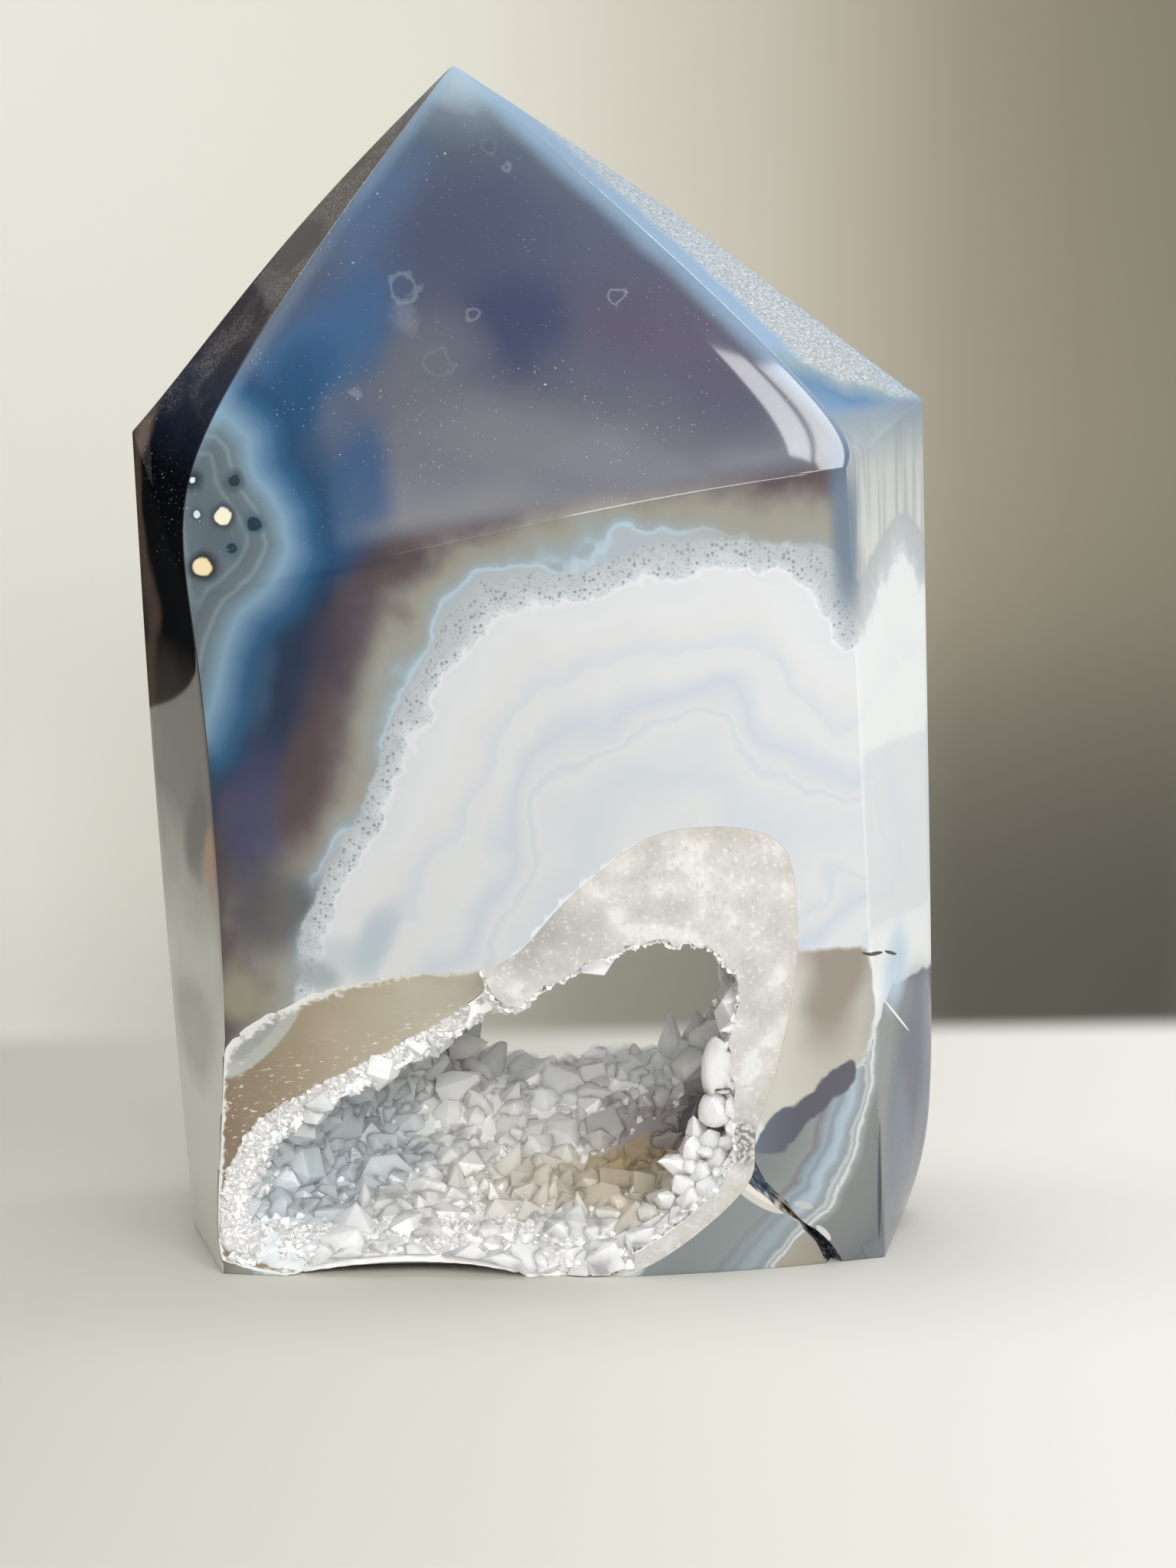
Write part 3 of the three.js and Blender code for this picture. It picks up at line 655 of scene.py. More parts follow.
# Where the agate's bands run on the front, and further in at the back, as closed outlines [x, z] in mm.
bands = {
    "whiteFront": [
        (-33, 30), (-30.7, 36.8), (-29.2, 40.5), (-26.3, 46.3), (-22.3, 54.1), (-19.4, 61.8),
        (-16.5, 68.6), (-11.9, 76.2), (-6.4, 82.2), (3.4, 85.3), (13.1, 87.1), (21.7, 88), (28.4, 87.9),
        (34.2, 83.6), (37.1, 78.7), (38.8, 79), (41.5, 84), (44.7, 89), (47, 88), (48.6, 85), (60, 84),
        (60, 34), (44, 34), (41, 29), (39.9, 25.7), (34.9, 23.2), (30, 20.3), (27.5, 17.8), (24, 12),
        (16, 6), (10, 0), (10, -9), (-36, -9)],
    "whiteBack": [
        (-28, -9), (-30, 14), (-27, 32), (-19, 46), (-6, 57), (10, 62), (26, 59), (38, 50), (48, 38),
        (60, 30), (60, -9)],
    "lineFront": [
        (-34, 30), (-31.6, 37.1), (-31.3, 42.5), (-29.1, 48.3), (-25.2, 55.1), (-22.3, 62.8),
        (-20.3, 68.6), (-16.4, 75.3), (-13.5, 82.9), (-9.7, 86.7), (-4, 89.1), (-0.2, 88.1), (5.5, 89),
        (14, 91.8), (23.6, 92.2), (33.2, 91.2), (36.5, 89.3), (38.5, 87), (42.5, 92), (46, 94), (50, 91),
        (60, 90), (62, -9), (-37, -9)],
    "lineBack": [
        (-33, -9), (-35, 14), (-32, 36), (-22, 52), (-7, 64), (10, 69), (28, 66), (42, 56), (52, 44),
        (62, 36), (62, -9)],
    "turnsFrom": -2,  # depth from which the bands leave the front's outline for the back's
    "low": [
        (9, -4), (12.5, 2.5), (19, 6.5), (24, 11), (25.4, 16), (27.5, 17.8), (30, 20.3), (34.9, 23.2),
        (39.9, 25.7), (41, 29), (44, 34), (60, 34), (60, -4)],
    "patch": [
        (26, 19), (28.4, 30), (29.4, 40.6), (31.7, 40.6), (39.9, 40.4), (41.4, 33), (39.9, 25.7),
        (34.9, 23.2), (30, 20.3), (27.5, 17.8)],
    # a dark grey lens below the patch's broken lower edge: painted shade, not a band
    "lens": [
        (26.1, 15.8), (27.3, 18.3), (29, 19.8), (31, 20.4), (32.6, 21.5), (35.4, 24.2), (38.2, 25.6),
        (38.2, 23.4), (35.3, 21.8), (33.3, 20), (31.3, 18.2), (29.8, 16.7), (28.8, 15.5), (27.3, 15.5)],
    "eyes": [
        (-50, 106), (-44, 107.5), (-39.5, 108), (-36, 104.5), (-35.4, 100.5), (-33.5, 98), (-31.7, 95),
        (-31.2, 91), (-33.5, 86.5), (-37.5, 83), (-39.2, 79), (-40.5, 73.5), (-42, 68), (-46, 68),
        (-49, 85)],
    "whiteLine": [
        (41.4, 30), (41, 25), (40.4, 21.1), (39.2, 17.5), (38, 13), (36.4, 10.7), (35.5, 8.3),
        (34.6, 7.1), (32.2, 5.3), (29.7, 2.5), (27.6, 0), (25.6, -2.5)],
    # What is stored of which outline, down to which depth behind the front, and how fast it ends past that.
    "depths": {"lowZone": ("low", 30, 1), "patch": ("patch", 7.5, 2), "lens": ("lens", 6, 2),
               "eyeZone": ("eyes", 16, 1)},
}


def nearLine(points, line):  # distance from each point to a line through corners
    best = np.full(len(points), 1e9)
    for a, b in zip(line, line[1:]):
        a, b = np.array(a, float), np.array(b, float)
        share = np.clip(((points - a) @ (b - a)) / ((b - a) @ (b - a)), 0, 1)
        best = np.minimum(best, np.linalg.norm(points - a - share[:, None] * (b - a), axis=1))
    return best


def inOutline(points, outline):  # distance to a closed outline, positive inside it
    outline = np.array(outline, float)
    inside = np.zeros(len(points), bool)
    for a, b in zip(outline, np.roll(outline, -1, 0)):
        crosses = (a[1] > points[:, 1]) != (b[1] > points[:, 1])
        rise = b[1] - a[1] if b[1] != a[1] else 1e-9
        inside ^= crosses & (points[:, 0] < a[0] + (points[:, 1] - a[1]) * (b[0] - a[0]) / rise)
    far = nearLine(points, [*outline, outline[0]])
    return np.where(inside, far, -far)


def store(piece, name, values):  # a number at each vertex, for the material to read
    attribute = piece.data.attributes.new(name, "FLOAT", "POINT")
    attribute.data.foreach_set("value", np.asarray(values, np.float32))


def layOutBands(piece):
    co = np.array([v.co for v in piece.data.vertices]) / mm
    flat = co[:, [0, 2]]
    turn = np.clip((co[:, 1] - bands["turnsFrom"]) / (-frontAt - bands["turnsFrom"]), 0, 1)
    turn = turn * turn * (3 - 2 * turn)
    for name in ("white", "line"):
        front, back = (inOutline(flat, bands[name + end]) for end in ("Front", "Back"))
        store(piece, name + "Zone", front * (1 - turn) + back * turn)
    depth = co[:, 1] - frontAt
    for name, (outline, reach, fade) in bands["depths"].items():
        store(piece, name, inOutline(flat, bands[outline]) - np.maximum(0, depth - reach) * fade)
    line = np.array(bands["whiteLine"], float)
    side = inOutline(flat, [*bands["whiteLine"], (-20, -3), (-20, 30)])
    store(piece, "lineLow", np.sign(side) * nearLine(flat, line) - np.maximum(0, depth - 6) * 0.4)
    ridges = [[c.get("ridge", c["side"][-1]), tower["apex"]] for c in columns if "ridge" in c or "edge" in c]
    store(piece, "ridge", np.min([nearLine(co, line) for line in ridges], axis=0))
    ridges = [line for line in ridges if line[0][1] < -10]
    store(piece, "frontRidge", np.min([nearLine(co, line) for line in ridges], axis=0))
    store(piece, "crack", nearLine(flat, crack["path"]) + np.maximum(0, depth - 9))
    store(piece, "behindSkin", [skin.find_nearest(v.co)[3] / mm for v in piece.data.vertices])
    facing = np.zeros(len(co))
    for face in piece.data.polygons:
        for v in face.vertices:
            facing[v] = face.normal.x
    store(piece, "leftward", -facing)
    store(piece, "rightward", facing)


def paintCrustTonesAndLight(piece):
    co = np.array([v.co for v in piece.data.vertices])
    store(piece, "edge", inOutline(co[:, [0, 2]] / mm, hollow[0]["outline"]))
    # the crust takes the druzy's tones, painted light and shade included
    rgba = np.concatenate([tonesAndPaintedLightAt(co), np.ones((len(co), 1))], 1).astype(np.float32)
    piece.data.attributes.new("toneAndPaintedLight", "FLOAT_COLOR", "POINT").data.foreach_set("color", rgba.ravel())


def add(tree, kind, sockets=None, stops=None, give=0, **settings):  # one node with its settings and links
    node = tree.nodes.new("ShaderNode" + kind)
    for name, value in settings.items():
        setattr(node, name, value)
    if stops:  # colours along a number, spread over the ramp
        low, high = min(stops), max(stops)
        sockets = {0: add(tree, "MapRange", {0: sockets[0], 1: low, 2: high})}
        points = node.color_ramp.elements
        points.remove(points[1])
        points[0].position = 0
        for place in sorted(stops):
            point = points[0] if place == low else points.new((place - low) / (high - low))
            point.color = colour(stops[place])
    for socket, value in (sockets or {}).items():
        if isinstance(value, bpy.types.NodeSocket):
            tree.links.new(value, node.inputs[socket])
        else:
            node.inputs[socket].default_value = colour(value) if isinstance(value, str) else value
    return node.outputs if give is None else node.outputs[give]


def newMaterial(name, **finish):  # finish names the shader's own sockets, with _ for a space
    material = bpy.data.materials.new(name)
    material.use_nodes = True
    tree = material.node_tree
    shader = tree.nodes["Principled BSDF"]
    for socket, value in finish.items():
        value = colour(value) if isinstance(value, str) else value
        shader.inputs[socket.replace("_", " ")].default_value = value
    return material, tree, shader


def numbersFor(tree, facts):  # what a material's layers go by, under the names that its facts give
    at = add(tree, "TexCoord", give="Object")
    number = {name: add(tree, "Attribute", give="Fac", attribute_name=name) for name in facts["stored"]}
    number.update({"still": at, "one": 1.0})
    for name, axis in zip("xyz", add(tree, "SeparateXYZ", {0: at}, give=None)):
        number[name] = add(tree, "Math", {0: axis, 1: 1 / mm}, operation="MULTIPLY")
    for name, (apart, reach) in facts.get("drifts", {}).items():
        swing = add(tree, "TexNoise", {"Vector": at, "Scale": 1 / (apart * mm), "Detail": 2.0}, give="Color")
        swing = add(tree, "VectorMath", {0: swing, 1: (0.5, 0.5, 0.5)}, operation="SUBTRACT")
        swing = add(tree, "VectorMath", {0: swing, "Scale": reach * mm * 2}, operation="SCALE")
        number[name] = add(tree, "VectorMath", {0: at, 1: swing})
    for name, (source, noise, *aim) in facts["noises"].items():
        squeeze, turn = aim or ((1, 1, 1), 0)
        aimed = {"Vector": number[source], "Rotation": (0, turn * deg, 0), "Scale": squeeze}
        number[name] = add(tree, "TexNoise", {"Vector": add(tree, "Mapping", aimed), **noise})
    for name, (source, *how) in facts["made"].items():
        if isinstance(how[0], dict):
            whole = number[source]
            for part, share in how[0].items():
                whole = add(tree, "Math", {0: number[part], 1: share, 2: whole}, operation="MULTIPLY_ADD")
            number[name] = whole
        else:
            start, end, low, high, easing = how
            number[name] = add(tree, "MapRange", {0: number[source], 1: start, 2: end, 3: low, 4: high},
                               interpolation_type=easing)
    for name, (source, centre, half, turn) in facts.get("spots", {}).items():
        number[name] = softSpot(tree, number[source], centre, half, turn)
    return number


def softSpot(tree, at, centre, half, turn):  # from 1 at a spot's middle to 0 a quarter past its half sizes
    place = add(tree, "Mapping", {
        "Vector": at, "Location": Vector(centre) * mm, "Rotation": (0, turn * deg, 0),
        "Scale": Vector(half) * mm * 1.25}, vector_type="TEXTURE")
    return add(tree, "TexGradient", {"Vector": place}, give="Fac", gradient_type="SPHERICAL")


def layOver(tree, base, number, layers):  # lays each colour on where its numbers are all past their limits
    for tone, *limits in layers:
        share = 1.0
        for source, *span in limits:
            part = number.get(source, source)
            if span:  # from where to where the layer comes in, and how strong it gets if not full
                start, end, *top = span
                part = add(tree, "MapRange", {0: part, 1: start, 2: end, 4: top[0] if top else 1.0},
                           interpolation_type="SMOOTHSTEP")
            share = add(tree, "Math", {0: share, 1: part}, operation="MULTIPLY")
        if isinstance(tone, tuple):  # a number and the colours along it
            tone = add(tree, "ValToRGB", {0: number[tone[0]]}, stops=tone[1])
        base = add(tree, "Mix", {0: share, 6: base, 7: tone}, give=2, data_type="RGBA")
    return base


agate = {
    "stored": ("whiteZone", "lineZone", "lowZone", "patch", "lens", "lineLow", "ridge", "frontRidge",
               "eyeZone", "leftward", "rightward"),  # numbers that layOutBands leaves at each vertex
    "drifts": {"drifted": (16, 5), "nudged": (16, 1.5)},  # clouds' edges: mm between two swings, mm of each
    "noises": {  # where, clumps to the metre and how uneven, how squeezed and turned
        "swings": ("still", {"Scale": 1000 / 14, "Detail": 3}),
        "fineSwings": ("still", {"Scale": 1000 / 2.4, "Detail": 3}),
        "streaks": ("still", {"Scale": 900, "Detail": 3}, (1, 1, 0.04), 0),
        "frost": ("still", {"Scale": 3600, "Detail": 4, "Roughness": 0.65}, (0.45, 1, 1), 38),
        "patches": ("drifted", {"Scale": 130, "Detail": 3}),
        "settling": ("still", {"Scale": 70, "Detail": 3}),
        "hairs": ("still", {"Scale": 75, "Detail": 1, "Distortion": 1.2}),
    },
    "made": {  # a number from start to end and what those become, or a number with shares of others added
        "wander": ("swings", 0.25, 0.75, -1.7, 1.7, "LINEAR"),
        "shiver": ("fineSwings", 0.25, 0.75, -0.9, 0.9, "LINEAR"),
        "white": ("whiteZone", {"wander": 1, "shiver": 1}),
        "line": ("lineZone", {"wander": 0.5, "shiver": 0.6}),
        "outer": ("line", {"wander": 2}),
        "aboveCrease": ("z", {"x": -0.16, "one": -95.2}),
        "crownHeight": ("z", {"wander": 1.5}),
        "eyeHalo": ("eyeZone", {"wander": 0.4}),
        "leftHeight": ("z", {"wander": 2, "x": 0.6, "one": 28}),
        "onRight": ("rightward", 0.35, 0.6, 0, 1, "SMOOTHSTEP"),
        "pointHeight": ("z", {"x": -0.1}),
        "fromRidge": ("frontRidge", {"patches": 4}),
        "sunken": ("z", {"x": 0.33, "patches": 3}),
        "leaning": ("x", 2, -14, 0, 1.2, "SMOOTHSTEP"),
        # painted highlight along the ridges of the point
        "ridgeGlow": ("ridge", {"wander": 0.3, "leaning": 1}),
        "settled": ("settling", 0.46, 0.6, 0.25, 1.25, "SMOOTHSTEP"),
        "whiteDepth": ("whiteZone", {"wander": 2.2}),
        "low": ("lineLow", {"wander": 0.5, "shiver": 0.4}),
        "lowEdge": ("lowZone", {"shiver": 0.5}),
        "patchEdge": ("patch", {"shiver": 0.3}),
        "patchAcross": ("x", {"wander": 1.2}),
        "lensEdge": ("lens", {"shiver": 0.4}),
        "towardsCrack": ("z", {"x": 1.18}),
        "cornerAcross": ("x", {"wander": 1}),
    },
    "spots": {"patchCore": ("drifted", (35.2, -22, 37.5), (4.2, 8, 11), 0)},
    # Specks of dust: mm apart, radius to that, rarity, strength.
    "dust": [(0.5, 0.24, 0.6, 0.5), (1.1, 0.13, 0.6, 0.7), (2.9, 0.07, 0.3, 0.8)],
    "specks": [(0.6, 0.45, 0.62), (0.32, 0.4, 0.4)],  # dark, under the pale line: mm apart, rarity, strength
}
outerColours = {  # mm outside the thin pale line
    0.6: "#aab3bb", 0: "#b4c6d2", -0.5: "#9aa9b1", -1.5: "#979d9c", -3: "#999890", -4.5: "#938f86",
    -6.5: "#797371", -8.5: "#5f5355", -11: "#4d4449", -13.5: "#303449", -16.5: "#203653", -20: "#2a4669",
    -24: "#3d5d7d", -28: "#364f6d", -34: "#344159"}
crownColours = {  # mm of height in the point
    94: "#828388", 98: "#787982", 104: "#696a76", 112: "#585c6a", 122: "#4c5266", 132: "#4d5467",
    139: "#505a69", 144: "#6a7783", 147: "#92a4b1", 150: "#abbcc8"}
leftColoursAndPaintedReflection = {  # mm of height on the left face: partly the stone's own colour and partly painted reflection, near black in the middle and pale grey low down
    0: "#d6d3cb", 30: "#e2e0da", 43: "#bfbbb5", 58: "#595450", 72: "#46423f", 78: "#0a0c12",
    100: "#03070e", 106: "#1a2333", 112: "#2f3645", 122: "#403e43", 132: "#464347", 142: "#4a4444",
    150: "#4e4846", 157: "#565050", 164: "#5a5f66", 170: "#8293a0"}
rightColours = {  # mm of height on the right face above the white
    80: "#ccd0cf", 92: "#cfd2ce", 100: "#bfc5c5", 106: "#8f9ca8", 110: "#7f97b4", 125: "#6d88ac",
    140: "#7d8cab", 150: "#a9c1d3"}
eyeColours = {  # mm inside the pale halo round the eyes
    8: "#56636b", 5.6: "#5f6d75", 5.1: "#70808a", 4.6: "#5d6b73", 3.4: "#637179", 2.9: "#788a96",
    2.4: "#677880", 1.4: "#728a9a", 0.3: "#7d9cb3", -1.4: "#56799a", -3: "#28587e", -5: "#153f62",
    -8: "#1b4163"}
# The right facet's clear blue foot, by mm of height, and the frost above it, along its noise.
blueFootColours = {116: "#9fb5c6", 119.5: "#7fa0bf", 123: "#5f84a9", 124.8: "#8fa3ac", 126: "#94b0cb"}
frostColours = {0.34: "#8b9092", 0.44: "#a5aaab", 0.54: "#bcc0bf", 0.66: "#f2f3f3"}
patchColours = {29: "#c6c3ba", 33: "#b9b6ac", 39: "#b4b1a7", 42: "#a2a09a"}  # mm to the right
# painted shade in the lens below the patch, by mm to the right
paintedShadeLensColours = {26: "#5f6775", 31: "#50505d", 38: "#55535f"}
cornerColours = {25: "#b0aa9c", 31: "#a39d90", 36: "#8f8b80"}
# mm from the white's edge, negative outside it.
speckledColours = {-8: "#acb4ba", -5: "#aeb5ba", -2: "#bac0c5", -0.4: "#cdd2d7", 0: "#e0e3e7"}
whiteColours = {  # mm inside the white
    0: "#d4d7db", 2.5: "#d8dadd", 6: "#d5d6d8", 8.5: "#cad0d8", 9.2: "#d3d5d8", 12: "#d4d6d8",
    15: "#c3cad5", 17.5: "#d1d3d5", 18: "#c6ccd5", 19: "#d2d4d6", 24: "#c7cdd5", 28: "#d1d3d5",
    34: "#c6ccd4", 42: "#ced1d5"}
lowColours = {  # mm from the white line low on the right, positive towards the hollow
    -24: "#8d9296", -20: "#5c6277", -17: "#757c86", -14: "#62687d", -11: "#777d82", -8: "#6d7275",
    -5: "#777c7c", -1.4: "#7c8180", -0.55: "#949b9b", -0.1: "#d4d8d9", 0.25: "#989fa2", 0.6: "#bcc4c9",
    0.95: "#8c9496", 1.5: "#959fa7", 2.2: "#a8b8c6", 3: "#9eaebb", 3.7: "#848f9a", 4.3: "#929fab",
    4.9: "#828b94", 5.3: "#7a757a", 5.8: "#878d8c", 7.6: "#808684", 9.6: "#7a8080", 12: "#798185",
    16: "#808a93"}
# Clouds in the agate: centre, half sizes and turn about the depth axis in mm and degrees, colour, strength.
clouds = [
    ((-28, -17, 116), (8, 9, 34), 34, "#305c88", 0.85),
    ((-20.5, -10, 134), (6, 9, 12), 34, "#4a678c", 0.6),
    ((-31.5, -17, 107), (4.5, 9, 11), 28, "#1b4a70", 0.9),
    ((-29, -20, 97), (4.5, 12, 11), 0, "#164265", 0.9),
    ((-23.5, -20, 98), (5, 12, 12), 10, "#234f7a", 0.8),
    ((-4, -15, 117), (8, 9, 9), 0, "#353f5e", 0.9),
    ((-9, -12, 131), (12, 9, 12), 0, "#404966", 0.7),
    ((14, -15, 118), (13, 9, 11), 20, "#544c60", 0.7),
    ((22, -16, 108), (11, 9, 8), 0, "#4e4a5e", 0.7),
    ((-14, -18, 111), (8, 9, 9), 0, "#676b76", 0.6),
    ((-2, -20, 104.5), (17, 9, 6), 6, "#7d7d84", 0.5),
    ((8, -20, 102), (10, 9, 5), 0, "#797b85", 0.6),
    ((-33.5, -22, 77), (5.5, 12, 16), 22, "#122947", 0.9),
    ((-40.5, -21, 76), (4.5, 10, 15), 8, "#4a6a8b", 0.85),
    ((-26.5, -22, 78), (5, 12, 12), 22, "#3f3647", 0.8),
    ((-30, -22, 63), (5, 12, 12), 12, "#4f3e43", 0.75),
    ((-37, -22, 56), (4.5, 10, 13), 6, "#3f4266", 0.75),
    ((-34, -22, 47), (9, 10, 7), 0, "#4c4b4d", 0.8),
    ((-38.5, -22, 36), (4.4, 10, 4.2), 10, "#96937f", 0.85),
    ((26, -24, 94), (14, 6, 5), 6, "#9a968c", 0.7),
    ((37.5, -20, 92), (2.4, 6, 14), 0, "#5f7896", 0.85),
    ((2, 24, 100), (34, 12, 26), 0, "#2f4468", 0.8),
    ((-28, 22, 76), (14, 14, 26), -14, "#183f6c", 0.85),
    ((-10, 22, 118), (12, 10, 16), 0, "#4a4257", 0.7),
    ((32, 20, 90), (14, 14, 18), 20, "#5f6478", 0.7),
]
sideClouds = [  # the same, on the left face
    ((-43.5, -14, 57), (2.6, 7, 8), 10, "#0d0b0a", 0.95),
    ((-42.5, -20, 52), (1.5, 3, 5), 0, "#a8754b", 0.8),
    ((-51, -3, 80), (2, 6, 40), 0, "#6a5b52", 0.9),
    ((-46, -10, 30), (7, 12, 9), 0, "#a8a6a0", 0.7),
]
lowClouds = [
    ((47.5, -9, 20), (5, 10, 17), 8, "#3d405c", 0.85),
    ((46.5, -12, 9), (4, 9, 9), 0, "#66718a", 0.8),
    ((36.6, -20, 92), (2.2, 5, 11), 0, "#6d7c8e", 0.9),
    ((45, -14, 37), (3, 9, 6), 10, "#b3cde2", 0.8),
    ((45.5, -13, 16), (3.4, 6, 9), 0, "#5f6a7e", 0.8),
    ((-21.5, -24, 43), (2.6, 8, 6), 24, "#aab9c4", 0.75),
    ((-28.5, -24, 38.4), (3.4, 8, 2.4), 20, "#96a1a6", 0.8),
    ((-25, -24, 41), (4, 8, 3), 10, "#b3c0c8", 0.6),
]
eyes = [  # the little eyes at the left: place [x, z], radius of the dot, its colour, halo's width and colour
    ((-43.4, 99.2), 0.55, "#e9ebe8", 1.3, "#1b2a35"),
    ((-38.3, 99.1), 0.8, "#22313d", 1.2, "#46565f"),
    ((-42.9, 95.2), 0.5, "#d9e0e2", 0.7, "#46545c"),
    ((-39.6, 95.0), 1.05, "#f1ead2", 1.0, "#3a4147"),
    ((-35.9, 94.3), 0.9, "#17313f", 0.9, "#4d6370"),
    ((-38.6, 91.1), 0.7, "#1b3644", 0.9, "#4d6370"),
    ((-42.1, 88.9), 1.25, "#efdcb2", 1.3, "#241f20"),
]
# Small pale facets broken out beside the crack, and the vein along it: centre, half sizes, turn, colour.
nicks = [
    ((26.2, -23, 9.5), (1.05, 5, 4.1), -56, "#cfcac0"), ((26, -23, 10), (0.5, 5, 3.2), -54, "#e3dfd6"),
    ((34.7, -22.5, 4), (0.5, 4, 1.4), -42, "#d0d0ca"), ((32, -22.5, 7.9), (0.45, 4, 1.3), -72, "#bbc0be"),
    ((41, -18, 39.4), (2.2, 3.2, 0.24), 14, "#34373b"), ((44, -13.4, 38.4), (1.5, 3, 0.2), 30, "#3c4046"),
    ((45, -12, 30), (4.6, 7, 0.13), 53, "#e9eef1"), ((42.1, -20, 11), (0.3, 2, 8.5), 0, "#3f4855"),
]
marks = [  # dried drops on the point: place [x, z], radius, line width in mm, strength
    ((-17.2, 122.6), 1.8, 0.45, 0.2),
    ((-17.2, 118.9), 0.9, 1.6, 0.14),
    ((8.8, 121.7), 0.8, 0.3, 0.25),
    ((-9.3, 119.3), 0.8, 0.35, 0.2),
    ((-23.4, 109.8), 0.4, 0.5, 0.2),
    ((-6.6, 139.6), 0.9, 0.3, 0.16),
    ((-4.4, 137.2), 0.5, 0.35, 0.2),
    ((-13.4, 113.6), 1.6, 0.25, 0.1),
]


# Limits that several layers share: a number, and from where to where a layer comes in.
leftFace, rightFace = ("leftward", 0.35, 0.6), ("rightward", 0.35, 0.6)
inPoint = ("pointHeight", 102.5, 104.5)
inLine, inWhite = ("line", -0.3, 0.4), ("white", -0.2, 0.6)
inPatch, inLow, leftOfCrack = ("patchEdge", -0.5, 0.3), ("lowZone", -0.3, 0.3), ("towardsCrack", 43.4, 42.6)


def polishedAgate():  # banded chalcedony, ground flat and polished: sharp gloss over soft, deep colour
    material, tree, shader = newMaterial("polished banded agate", Roughness=0.05, IOR=1.54)
    number = numbersFor(tree, agate)
    flat = add(tree, "CombineXYZ", {0: number["x"], 2: number["z"]})

    def cloudLayers(spots, source, start, end, *limits):  # soft patches of colour
        return [(tone, (softSpot(tree, number[source], *spot), start, end, strength), *limits)
                for *spot, tone, strength in spots]

    def farFrom(place, shiver):  # mm from a place on the front, unevenly
        far = add(tree, "VectorMath", {0: flat, 1: (place[0], 0, place[1])}, give=1, operation="DISTANCE")
        return add(tree, "Math", {0: number["shiver"], 1: shiver, 2: far}, operation="MULTIPLY_ADD")

    layers = [(("crownHeight", crownColours), ("aboveCrease", -1, 3))]
    layers += cloudLayers(clouds, "drifted", 0, 0.75)
    layers.append((("eyeHalo", eyeColours), ("eyeZone", -7, -3), ("x", -20, -27), ("y", 2, -6)))
    for place, radius, core, width, surround in eyes:
        far = farFrom(place, 0.4)
        layers.append((surround, (far, radius + width, radius * 0.9, 0.9), ("y", 2, -6)))
        layers.append((core, (far, radius, radius * 0.7), ("y", 2, -6)))
    # the left face's colours, partly painted reflection
    layers.append((("leftHeight", leftColoursAndPaintedReflection), leftFace))
    layers += cloudLayers(sideClouds, "drifted", 0, 0.6, leftFace)
    layers += [
        (("z", rightColours), rightFace), ("#919a9d", rightFace, ("streaks", 0.4, 0.7, 0.5)),
        (("sunken", blueFootColours), rightFace, inPoint),
        (("frost", frostColours), rightFace, inPoint, ("fromRidge", 4.4, 6.8, 0.95),
         ("sunken", 124.4, 125.6)),
        ("#8b8684", leftFace, ("frost", 0.42, 0.62, 0.6), ("patches", 0.42, 0.6), ("z", 104, 112)),
        # painted highlight: pale blue along the point's ridges, fading to the left and left off the side
        # faces
        ("#8fabc3", ("ridgeGlow", 3.6, 0.2, 0.68), ("z", 92, 104), ("onRight", 1, 0), ("leftward", 0.5, 0.3)),
    ]
    for apart, radius, rarity, strength in agate["dust"]:
        cells = add(tree, "TexVoronoi", {"Vector": number["still"], "Scale": 1 / (apart * mm)}, give=None)
        chance = add(tree, "SeparateColor", {0: cells["Color"]})
        layers.append(("#c6ccd2", (cells["Distance"], radius, radius * 0.4), (chance, rarity, 1, strength),
                       ("settled",), ("aboveCrease", -2, 2)))
    for place, radius, width, strength in marks:
        far = farFrom(place, 0.9)
        layers.append(("#b9c0c8", (far, radius - width, radius, strength), (far, radius + width, radius),
                       ("y", -4, -8)))
    layers.append((("white", speckledColours), inLine))
    for apart, rarity, strength in agate["specks"]:
        cells = add(tree, "TexVoronoi", {"Vector": number["still"], "Scale": 1 / (apart * mm)}, give=None)
        chance = add(tree, "SeparateColor", {0: cells["Color"]})
        layers.append(("#5f6771", (cells["Distance"], 0.5, 0.2), (chance, rarity, rarity + 0.2), inLine,
                       ("white", -7.5, -1.5), ("white", 0.3, -0.8), ("rightward", 0.6, 0.3, strength)))
    layers += [
        (("whiteDepth", whiteColours), inWhite),
        ("#f2f5f7", inWhite, rightFace, ("lowZone", 0, -2, 0.6)),
        (("low", lowColours), ("lowEdge", -0.3, 0.3)),
    ]
    layers += cloudLayers(lowClouds, "nudged", 0, 0.7)
    layers += [
        (("patchAcross", patchColours), inPatch),
        ("#8b8075", inPatch, ("patchCore", 0, 0.6, 0.9)),
        # painted shade: the dark lens below the patch
        (("x", paintedShadeLensColours), ("lensEdge", -0.9, -0.4)),
        ("#868f91", inLow, leftOfCrack, ("low", 0.6, 1.6, 0.55)),
        (("cornerAcross", cornerColours), inLow, leftOfCrack, ("low", -0.3, -0.8), ("y", -10, -16)),
        ("#4f565b", inLow, ("hairs", 0.494, 0.498, 0.35), ("hairs", 0.506, 0.502), ("low", -0.8, -1.6)),
    ]
    layers += cloudLayers([(*nick, 1) for nick in nicks], "still", 0.12, 0.26)
    base = add(tree, "ValToRGB", {0: number["outer"]}, stops=outerColours)
    tree.links.new(layOver(tree, base, number, layers), shader.inputs["Base Color"])
    return material


